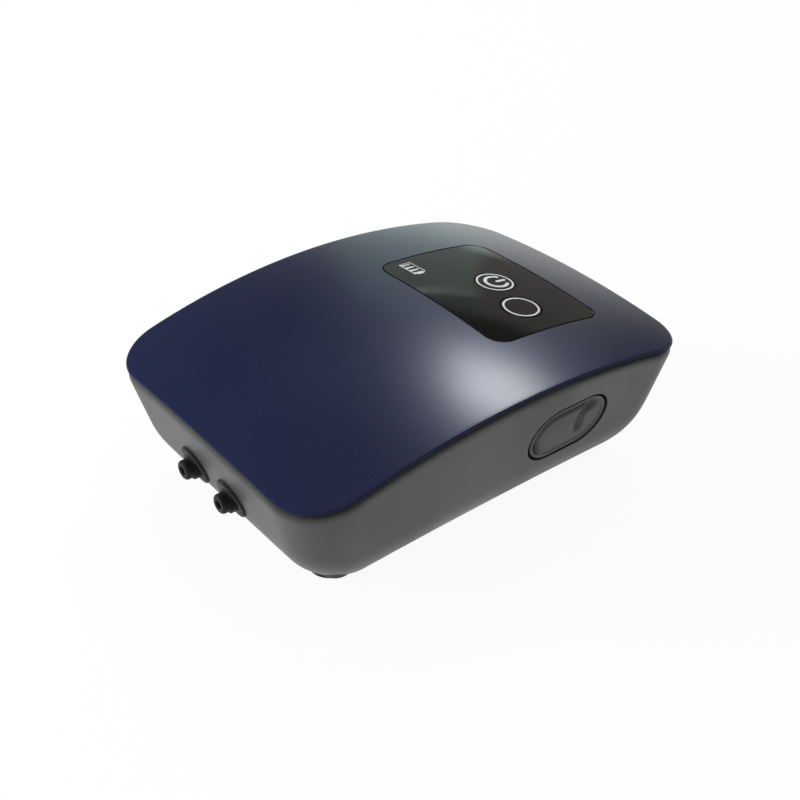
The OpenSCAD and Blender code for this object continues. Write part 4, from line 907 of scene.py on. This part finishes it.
class PUMP_OT_tub(Build, bpy.types.Operator):
    """Tub: drafted walls that turn under into the bottom, rounded rim, openings and inner posts"""

    bl_idname = "pump.tub"
    bl_label = "Tub"

    # Rings up the outer and down the inner wall, and the power that crowds them towards the bottom
    outer_steps = 34
    inner_steps = 14
    crowding = 1.7
    # Heights inside the bottom from which the screw posts and the foot pads stand up
    post_low = 7.5 * MM
    pad_low = 2.4 * MM
    # Wall of a foot pad round the peg's socket
    pad_w = 1.95 * MM
    # Play of an outlet's flange in its seat, and reach of the seat's cutter out of the wall
    seat_play = 0.05 * MM
    seat_out = 3 * MM
    # Reach of a cutter past the face that it opens
    over = 1 * MM

    def build(self, looks):
        h = looks.housing
        hull = Hull(h)
        drop = h.lid_edge + h.seam
        climb = [(i / self.outer_steps) ** self.crowding for i in range(self.outer_steps)]
        rings = [hull.wall_ring(share, h.belly_z, drop + h.rim_round, 0) for share in climb]
        for t in arc(7):
            inset = h.rim_round * (1 - math.cos(t))
            rings.append(hull.edge_ring(drop + h.rim_round * (1 - math.sin(t)), inset))
        rings.append(hull.edge_ring(drop, h.wall_t))
        descent = [(i / self.inner_steps) ** self.crowding for i in reversed(range(self.inner_steps))]
        rings += [hull.wall_ring(share, h.belly_z + h.wall_t, drop, h.wall_t) for share in descent]
        bm = bmesh.new()
        loft(bm, rings)
        tub = new_mesh("tub", bm)
        cut(tub, self.posts(h), "UNION")
        cut(tub, self.openings(looks))
        finish_piece(tub, finishes(looks)["tub_plastic"], "housing", "tub_grey", "base_housing")

    def posts(self, h):
        """Screw posts and foot pads that stand on the bottom."""
        bm = bmesh.new()
        for at in corners(h.post_x, h.post_y):
            prism(bm, circle(h.post_r, 40), at, self.post_low, h.post_top)
        for at in corners(h.foot_x, h.foot_y):
            prism(bm, circle(h.peg_r + self.pad_w, 40), at, self.pad_low, h.foot_pad_z)
        return bm

    def openings(self, looks):
        """Port opening, outlet seats, screw wells, foot sockets and air slots."""
        h, p, o = looks.housing, looks.port, looks.outlet
        bm = bmesh.new()
        prism(bm, stadium(p.l, p.h), port_matrix(looks), -2 * h.wall_t, 2 * h.wall_t)
        for side in (-1, 1):
            seat = outlet_matrix(o, side, o.flange_tilt)
            outline = circle(o.flange_d / 2 + self.seat_play, 64)
            prism(bm, outline, seat, -o.flange_t - self.seat_play, self.seat_out)
        for at in corners(h.post_x, h.post_y):
            prism(bm, circle(h.well_r, 40), at, -self.over, h.well_top)
        for at in corners(h.foot_x, h.foot_y):
            prism(bm, circle(h.peg_r, 32), at, 0, h.peg_z)
        for i in range(h.slot_count):
            slot = Matrix.Translation((h.slot_x, (i - (h.slot_count - 1) / 2) * h.slot_pitch, 0))
            prism(bm, stadium(h.slot_l, h.slot_w, 10), slot, 0, h.belly_z + h.wall_t + self.over)
        return bm


class PUMP_OT_lid(Build, bpy.types.Operator):
    """Lid: crowned satin shell with a rounded edge, the panel's recess and the tongue inside the rim"""

    bl_idname = "pump.lid"
    bl_label = "Lid"

    # Rings from the rim to the panel's recess, and how far they crowd towards the recess
    top_steps = 24
    crowding = 0.25
    # Small bevel under the lid's edge
    lip_bevel = 0.1 * MM
    # Distance of the last of those rings outside the recess
    mouth_out = 0.3 * MM
    # Rounded upper edge of the recess: distance outside it and depth, in millimetres
    mouth_edge = ((0.12, 0), (0.06, 0.015), (0.02, 0.05), (0, 0.12))
    # Gaps under the panel, and between the lid's bosses and the tub's posts
    panel_gap = 0.05 * MM
    boss_gap = 0.05 * MM
    # Depths below the panel's middle and below the crown at which board posts and bosses join the lid
    board_top = 2.8 * MM
    boss_top = 1.4 * MM

    def build(self, looks):
        h, p = looks.housing, looks.panel
        panel = PanelFrame(looks)
        hull = panel.hull
        tongue_out = h.wall_t + p.fit
        tongue_in = tongue_out + h.tongue_t
        tongue_z = h.lid_edge + h.seam + h.tongue_h
        groove_in = h.lid_in + h.lid_under
        rings = [hull.crown_ring(share, h.lid_t, tongue_in) for share in (0.03, 0.2, 0.4, 0.6, 0.8, 0.92)]
        # Drop below the crown and inset of the edge's corners, from the tongue to the rounded top
        edge = [(h.lid_t, tongue_in), (tongue_z, tongue_in), (tongue_z, tongue_out), (h.lid_edge, tongue_out),
                (h.lid_edge, groove_in), (h.lid_lip, groove_in), (h.lid_lip, h.lid_in + self.lip_bevel),
                (h.lid_lip - self.lip_bevel, h.lid_in)]
        for t in arc(8):
            inset = h.lid_in + h.lid_round * (1 - math.cos(t))
            edge.append((h.lid_round * (1 - math.sin(t)), inset))
        rings += [hull.edge_ring(drop, inset) for drop, inset in edge]
        rim = rings[-1]
        mouth = panel.ring(panel.outline(p.fit + self.mouth_out), 1, 0)
        for i in range(1, self.top_steps + 1):
            share = i / self.top_steps
            share *= 1 + self.crowding - self.crowding * share
            ring = []
            for a, b in zip(rim, mouth):
                x, y = a.lerp(b, share).xy
                ring.append(Vector((x, y, hull.crown(x, y))))
            rings.append(ring)
        for out, depth in self.mouth_edge:
            rings.append(panel.ring(panel.outline(p.fit + out * MM), 1, depth * MM))
        places = panel.outline(p.fit)
        rings += [panel.ring(places, share, p.t + self.panel_gap) for share in (1, 0.7, 0.35, 0.05)]
        bm = bmesh.new()
        loft(bm, rings)
        lid = new_mesh("lid", bm)
        cut(lid, self.posts(looks, panel), "UNION", crossing=True)
        cut(lid, panel_holes(looks, panel), crossing=True)
        finish_piece(lid, finishes(looks)["lid_paint"], "housing", "cover_blue", "top_cover")
        # The lid's side faces take the darker copy of its paint: painted shade along the edge
        lid.data.materials.append(finishes(looks)["lid_edge"])
        for face in lid.data.polygons:
            face.material_index = 1 if face.normal.z < LID_SHADED_SIDE else 0

    def posts(self, looks, panel):
        """Posts of the control board and screw bosses under the lid."""
        h, p = looks.housing, looks.panel
        bm = bmesh.new()
        for at in corners(p.board_x, p.board_y):
            prism(bm, circle(p.board_r, 32), panel.matrix @ at, -p.board_z, -self.board_top)
        top = panel.hull.crown(h.post_x, h.post_y) - self.boss_top
        for at in corners(h.post_x, h.post_y):
            prism(bm, circle(h.boss_r, 40), at, h.post_top + self.boss_gap, top)
        return bm


class PUMP_OT_panel(Build, bpy.types.Operator):
    """Gloss panel flush in the lid, with a bevelled edge and holes for keys and light bars"""

    bl_idname = "pump.panel"
    bl_label = "Panel"

    # Depth of the bevel's last ring, which softens it into the face
    edge_drop = 0.02 * MM
    # Contact nub of the battery sign: its middle outside the printed line, length and width
    nub_out = 0.2 * MM
    nub_l = 2.2 * MM
    nub_w = 0.8 * MM

    def build(self, looks):
        p = looks.panel
        panel = PanelFrame(looks)
        places = panel.outline(0)
        inner = panel.outline(-p.bevel)
        rings = [panel.ring(places, share, p.t) for share in (0.05, 0.5, 1)]
        # Share of the bevel's width and depth of its rings
        bevel = ((0, p.bevel * 0.6), (0.15, p.bevel * 0.35), (0.85, self.edge_drop))
        rings += [panel.ring(panel.outline(-p.bevel * part), 1, depth) for part, depth in bevel]
        rings += [panel.ring(inner, share, 0) for share in (1, 0.9, 0.75, 0.6, 0.45, 0.3, 0.15, 0.04)]
        bm = bmesh.new()
        loft(bm, rings)
        face = new_mesh("panel_face", bm, sharp=20)
        cut(face, panel_holes(looks, panel), sharp=20)
        finish_piece(face, finishes(looks)["panel_gloss"], "housing", "panel_black", "panel_lens")
        self.gauge(looks, panel)

    def gauge(self, looks, panel):
        """Printed line round the light bars and a contact nub, as on a battery sign."""
        p = looks.panel
        across = (p.bar_count - 1) * p.bar_pitch
        x, y = p.bars_x, p.bars_y + across / 2
        inner = (p.bar_l / 2 - p.frame_in, (across + p.bar_w) / 2 - p.frame_in)
        outer = [half + p.frame_w for half in inner]
        loops = []
        for l, w in (inner, outer):
            loops.append([(x + u * l, y + v * w) for u, v in ((1, 1), (-1, 1), (-1, -1), (1, -1))])
        printed_line(looks, panel, "gauge_frame", "housing", *loops)
        nub = y - outer[1] - self.nub_out
        outline = [(x + u, nub + v) for u, v in stadium(self.nub_l, self.nub_w, 10)]
        printed_mark(looks, panel, "gauge_nub", "housing", outline)


class PUMP_OT_keys(Build, bpy.types.Operator):
    """Two round keys flush with the panel, with printed rings and a power sign"""

    bl_idname = "pump.keys"
    bl_label = "Keys"

    # Points round a key and its printed ring
    steps = 96
    # Retaining flange below the lid: depth of its upper side, thickness and width
    flange_z = 3.3 * MM
    flange_t = 0.9 * MM
    flange_w = 0.9 * MM
    # Stem over the plunger: radius, radius of the innermost ring of its end, and depth of its end
    stem_r = 2.2 * MM
    stem_middle = 0.3 * MM
    stem_z = 5.85 * MM
    # Softened upper edge: inset and depth, in millimetres
    edge = ((0, 0.3), (0.04, 0.12), (0.14, 0.02))
    # Power sign: ends of its arc in degrees, and reach of its bar past the middle and past the arc
    sign_ends = (38, 322)
    sign_over = 0.2 * MM

    def build(self, looks):
        p = looks.panel
        panel = PanelFrame(looks)
        power, pulse = (p.power_x, p.power_y), (p.pulse_x, p.pulse_y)
        for name, centre, ring in (("power_key", power, p.power_ring), ("pulse_key", pulse, p.pulse_ring)):
            self.cap(looks, panel, name, centre)
            inner, outer = (circle(r, self.steps, centre) for r in (ring / 2 - p.ring_w, ring / 2))
            printed_line(looks, panel, name + "_ring", name, inner, outer)
        self.sign(looks, panel)

    def sign(self, looks, panel):
        """Open arc and upright bar of the power sign."""
        p = looks.panel
        x, y = p.power_x + p.sign_x, p.power_y + p.sign_y
        turns = arc(60, *self.sign_ends)
        low, high = p.sign_r - p.sign_w / 2, p.sign_r + p.sign_w / 2
        outline = [(x + low * math.cos(t), y + low * math.sin(t)) for t in turns]
        outline += [(x + high * math.cos(t), y + high * math.sin(t)) for t in reversed(turns)]
        printed_mark(looks, panel, "power_key_sign_arc", "power_key", outline)
        bar = stadium(p.sign_r + 2 * self.sign_over, p.sign_w, 10)
        outline = [(x + (p.sign_r / 2 + u), y + v) for u, v in bar]
        printed_mark(looks, panel, "sign_bar", "power_key", outline)

    def cap(self, looks, panel, name, centre):
        """Key cap: crowned face, softened edge, retaining flange and stem."""
        r = looks.panel.key_d / 2
        wide = r + self.flange_w
        low = self.flange_z + self.flange_t
        x, y = centre
        places = circle(1, self.steps)

        def level(radius, depth):
            return [panel.matrix @ Vector((x + radius * u, y + radius * v, -depth)) for u, v in places]

        def crowned(radius, depth):
            return [panel.on(x + radius * u, y + radius * v, depth) for u, v in places]

        rings = [level(self.stem_middle, self.stem_z), level(self.stem_r, self.stem_z)]
        rings += [level(self.stem_r, low), level(wide, low)]
        rings += [level(wide, self.flange_z), level(r, self.flange_z)]
        rings += [crowned(r - inset * MM, depth * MM) for inset, depth in self.edge]
        rings += [crowned(r * share, 0) for share in (0.95, 0.8, 0.6, 0.4, 0.2, 0.03)]
        bm = bmesh.new()
        loft(bm, rings)
        cap = new_mesh(name + "_cap", bm, sharp=30)
        finish_piece(cap, finishes(looks)["panel_gloss"], name, "key_black", name)


class PUMP_OT_flap(Build, bpy.types.Operator):
    """Cover flap of the charging port: narrow rim, hollowed face, finger groove and curved guide bar"""

    bl_idname = "pump.flap"
    bl_label = "Port flap"

    # Points round each end and along each straight side
    end_n = 56
    side_n = 48
    # Rounding of the outer edge
    edge = 0.12 * MM
    # Half height of the innermost ring
    middle = 0.05 * MM
    # Distance between rings on the steep side of the hollow, and on the rest of the face
    fine_step = 0.05 * MM
    step = 0.16 * MM
    # Direction in which the hollow lies, and how far a place leans to it where the hollow starts and is full
    hollow_way = (-0.8, 0.6)
    hollow_start = -0.15
    hollow_full = 0.45
    # Finger groove: run-out past its bend, and the end and the full depth of its lower part
    groove_out = 2 * MM
    groove_end = -5 * MM
    groove_full = -2.5 * MM
    # Outward part of a normal below which a face counts as the flap's side
    side_slope = 0.2
    # Locating lip on the back: length, height, reach behind the flap and overlap with it
    lip_l = 12.4 * MM
    lip_h = 6.8 * MM
    lip_reach = 0.3 * MM
    lip_overlap = 0.2 * MM
    # Guide bar about the hinge line: radius and place across of its corners, in millimetres
    bar_section = ((4, -1.5), (5, -1.5), (5, 1.5), (4, 1.5))
    # Ends of the guide bar, in degrees about the hinge line
    bar_ends = (-141, -30)

    def build(self, looks):
        p = looks.port
        matrix = port_matrix(looks)
        l, h = p.l - 2 * p.gap, p.h - 2 * p.gap
        edge = self.edge
        innermost = h / 2 - self.middle

        def ring(inset, z):
            outline = stadium(l - 2 * inset, h - 2 * inset, self.end_n, self.side_n)
            return [Vector((x, y, z)) for x, y in outline]

        rings = [ring(inset, -p.flap_t) for inset in (innermost, h / 4, 0)]
        rings += [ring(0, -edge), ring(edge * 0.3, -edge * 0.3), ring(edge, 0), ring(p.flap_rim - edge, 0)]
        inset = p.flap_rim
        while inset < innermost:
            rings.append([Vector((v.x, v.y, self.face(p, l, h, v.x, v.y))) for v in ring(inset, 0)])
            inset += self.fine_step if inset < p.flap_rim + p.hollow_in else self.step
        sunk = matrix @ Matrix.Translation((0, 0, -p.flap_sink))
        bm = bmesh.new()
        loft(bm, [[sunk @ v for v in r] for r in rings])
        bmesh.ops.triangulate(bm, faces=[f for f in bm.faces if len(f.verts) > 4], ngon_method="BEAUTY")
        flap = new_mesh("port_flap", bm, sharp=40)
        cut(flap, self.back(p, matrix), "UNION", sharp=40)
        finish_piece(flap, finishes(looks)["flap_plastic"], "port_cover", "tub_grey", "port_cover")
        # The flap's outer side faces are made black: painted shade in the gap round the flap
        flap.data.materials.append(finishes(looks)["rubber_black"])
        out = matrix.to_3x3() @ Vector((0, 0, 1))
        for face in flap.data.polygons:
            upright = abs(face.normal.dot(out)) < self.side_slope
            face.material_index = 1 if upright and self.outside(p, matrix, face, h) else 0

    def outside(self, p, matrix, face, h):
        """True for the faces of the flap's outer side, which are made black as painted shade in the gap round
        the flap.
        """
        at = matrix.inverted() @ face.center
        middle = max(min(at.x, (p.l - p.h) / 2), (p.h - p.l) / 2)
        return math.hypot(at.x - middle, at.y) > h / 2 - p.flap_rim / 2

    def face(self, p, l, h, x, y):
        """Height of the flap's face: hollow along the upper and outlet-end rim, and a finger groove."""
        middle = max(min(x, (l - h) / 2), (h - l) / 2)
        far = math.hypot(x - middle, y)
        inside = h / 2 - far - p.flap_rim
        along, up = self.hollow_way
        leaning = (up * y + along * (x - middle)) / max(far, TOUCH)
        share = smooth(leaning, self.hollow_start, self.hollow_full)
        hollow = p.hollow_d * share * (1 - smooth(inside, p.hollow_in, p.hollow_w))
        return -smooth(inside, 0, p.hollow_in) * (p.dish_d + hollow) - self.groove(p, x, y)

    def groove(self, p, x, y):
        """Depth of the curved finger groove at a place of the flap's face."""
        u, v = x - p.groove_x, y - p.groove_y
        off = abs(math.hypot(u, max(v, 0)) - p.groove_r)
        ends = (1 - smooth(u, 0, self.groove_out)) * smooth(v, self.groove_end, self.groove_full)
        return p.groove_d * ends * (1 - smooth(off, 0, p.groove_w))

    def back(self, p, matrix):
        """Locating lip and curved guide bar on the back of the flap."""
        bm = bmesh.new()
        rear = -p.flap_sink - p.flap_t
        prism(bm, stadium(self.lip_l, self.lip_h, 16), matrix, rear - self.lip_reach, rear + self.lip_overlap)
        pivot = Vector((-p.hinge_x, 0, 0))
        rings = []
        for t in arc(28, *self.bar_ends):
            places = [Vector((r * math.cos(t), s, r * math.sin(t))) * MM for r, s in self.bar_section]
            rings.append([matrix @ (pivot + place) for place in places])
        loft(bm, rings)
        return bm


class PUMP_OT_outlets(Build, bpy.types.Operator):
    """Two hose outlets: level stub with a hose tail, and a flange that lies along the wall"""

    bl_idname = "pump.outlets"
    bl_label = "Outlets"

    # Steps round an outlet
    steps = 72
    # Rounding of the stub's mouth outside and in its bore, and of the hose tail's end
    mouth_round = 0.8 * MM
    bore_round = 0.25 * MM
    tail_round = 0.2 * MM
    # Neck behind the flange: width round the tail and length
    neck_w = 1 * MM
    neck_l = 2 * MM
    # Depth to which the neck and the root ring run into the flange
    sunk = 1 * MM
    # Overlap of the flange with the stub's wall
    flange_in = 0.4 * MM
    # Rounded edge of the flange: inset and depth, in millimetres
    flange_edge = ((0, 0.3), (0.09, 0.09), (0.3, 0))

    def build(self, looks):
        o = looks.outlet
        stub, flange = self.stub(o), self.flange(o)
        for name, side in (("outlet_1", 1), ("outlet_2", -1)):
            piece = new_mesh(name + "_stub", self.turned(stub, outlet_matrix(o, side, 0)), sharp=30)
            cut(piece, self.turned(flange, outlet_matrix(o, side, o.flange_tilt)), "UNION", sharp=30)
            finish_piece(piece, finishes(looks)["outlet_plastic"], "housing", "outlet_black", name)

    def stub(self, o):
        """Radius and height of the stub's profile, from the hose tail inside to the mouth."""
        r, bore, tail, back = o.d / 2, o.bore / 2, o.face_x - o.tail_x, -o.flange_t
        neck, root = o.tail_r + self.neck_w, r + o.root_w
        profile = [(bore, tail), (o.tail_r - self.tail_round, tail), (o.tail_r, tail + self.tail_round),
                   (o.tail_r, back - self.neck_l), (neck, back - self.neck_l), (neck, back + self.sunk),
                   (r, back + self.sunk), (r, -self.sunk), (root, -self.sunk), (root, o.root_l),
                   (r, o.root_l), (r, o.l - self.mouth_round)]
        for t in arc(6)[1:]:
            inset, depth = self.mouth_round * (1 - math.cos(t)), self.mouth_round * (1 - math.sin(t))
            profile.append((r - inset, o.l - depth))
        return profile + [(bore + self.bore_round, o.l), (bore, o.l - self.bore_round)]

    def flange(self, o):
        """Radius and height of the flange's profile."""
        inner, edge, back = o.d / 2 - self.flange_in, o.flange_d / 2, -o.flange_t
        rounded = [(edge - inset * MM, -depth * MM) for inset, depth in self.flange_edge]
        return [(inner, back), (edge, back), *rounded, (inner, 0)]

    def turned(self, profile, matrix):
        """Closed profile of radius and height, spun about the frame's z axis."""
        bm = bmesh.new()
        wire(bm, [(radius, 0, height) for radius, height in profile])
        bmesh.ops.spin(bm, geom=bm.verts[:] + bm.edges[:], cent=(0, 0, 0), axis=(0, 0, 1), angle=math.tau,
                       steps=self.steps, use_merge=True)
        bmesh.ops.transform(bm, matrix=matrix, verts=bm.verts)
        return bm


class PUMP_OT_parts(Build, bpy.types.Operator):
    """Finishes of the pieces that keep their CAD shape: feet, light bars and everything inside"""

    bl_idname = "pump.parts"
    bl_label = "Inner parts"

    finish_of = {
        "light_bar": ("level_bars",),
        "rubber_black": ("rubber_feet", "pump_isolators", "arm_bush_1", "arm_bush_2", "diaphragm_1",
                         "diaphragm_2", "valve_flaps"),
        "part_black": ("port_block", "key_switches", "board_parts"),
        "part_white": ("power_plunger", "pulse_plunger", "pump_frame", "coil_bobbin", "arm_1", "arm_2",
                       "pivot_bridge", "chamber_1", "chamber_2", "chamber_cover_1", "chamber_cover_2",
                       "battery_cradle"),
        "board_green": ("control_board", "charge_board"),
        "led_yellow": ("level_leds",),
        "steel_zinc": ("board_screws", "charge_socket", "core_strap", "clamp_1", "clamp_2", "battery_tabs",
                       "housing_screws", "pump_screws"),
        "core_steel": ("coil_core",),
        "copper_enamel": ("coil_winding",),
        "magnet_grey": ("magnet_1", "magnet_2"),
        "silicone_clear": ("hose_1", "hose_2"),
        "cell_sleeve": ("battery_cells",),
        "wire_red": ("battery_leads", "charge_leads"),
        "wire_black": ("coil_leads",),
        "felt_grey": ("intake_filter",),
    }

    def build(self, looks):
        made = finishes(looks)
        for finish, names in self.finish_of.items():
            for name in names:
                node = NODES[name]
                node.data.materials.clear()
                node.data.materials.append(made[finish])
                weld = node.modifiers.new("weld", "WELD")
                weld.merge_threshold = TOUCH


class PUMP_PT_looks(bpy.types.Panel):
    """Sizes, colours and building steps of the air pump"""

    bl_idname = "PUMP_PT_looks"
    bl_label = "Air Pump"
    bl_space_type = "VIEW_3D"
    bl_region_type = "UI"
    bl_category = "Air Pump"

    def draw(self, context):
        looks = context.scene.pump_looks
        for step in STEPS:
            self.layout.operator(step.bl_idname)
        for name in ("housing", "panel", "port", "outlet", "finish", "stage"):
            settings = getattr(looks, name)
            box = self.layout.box()
            box.label(text=name.capitalize())
            for key in settings.__annotations__:
                box.prop(settings, key)


STEPS = (PUMP_OT_stage, PUMP_OT_tub, PUMP_OT_lid, PUMP_OT_panel, PUMP_OT_keys, PUMP_OT_flap, PUMP_OT_outlets,
         PUMP_OT_parts)
CLASSES = (HousingSizes, PanelSizes, PortSizes, OutletSizes, FinishColours, StageSettings, PumpLooks, *STEPS,
           PUMP_PT_looks)


def register():
    for cls in CLASSES:
        bpy.utils.register_class(cls)
    bpy.types.Scene.pump_looks = PointerProperty(type=PumpLooks)


def unregister():
    del bpy.types.Scene.pump_looks
    for cls in reversed(CLASSES):
        bpy.utils.unregister_class(cls)


def main():
    register()
    for step in STEPS:
        area, name = step.bl_idname.split(".")
        getattr(getattr(bpy.ops, area), name)()


if __name__ == "__main__":
    main()
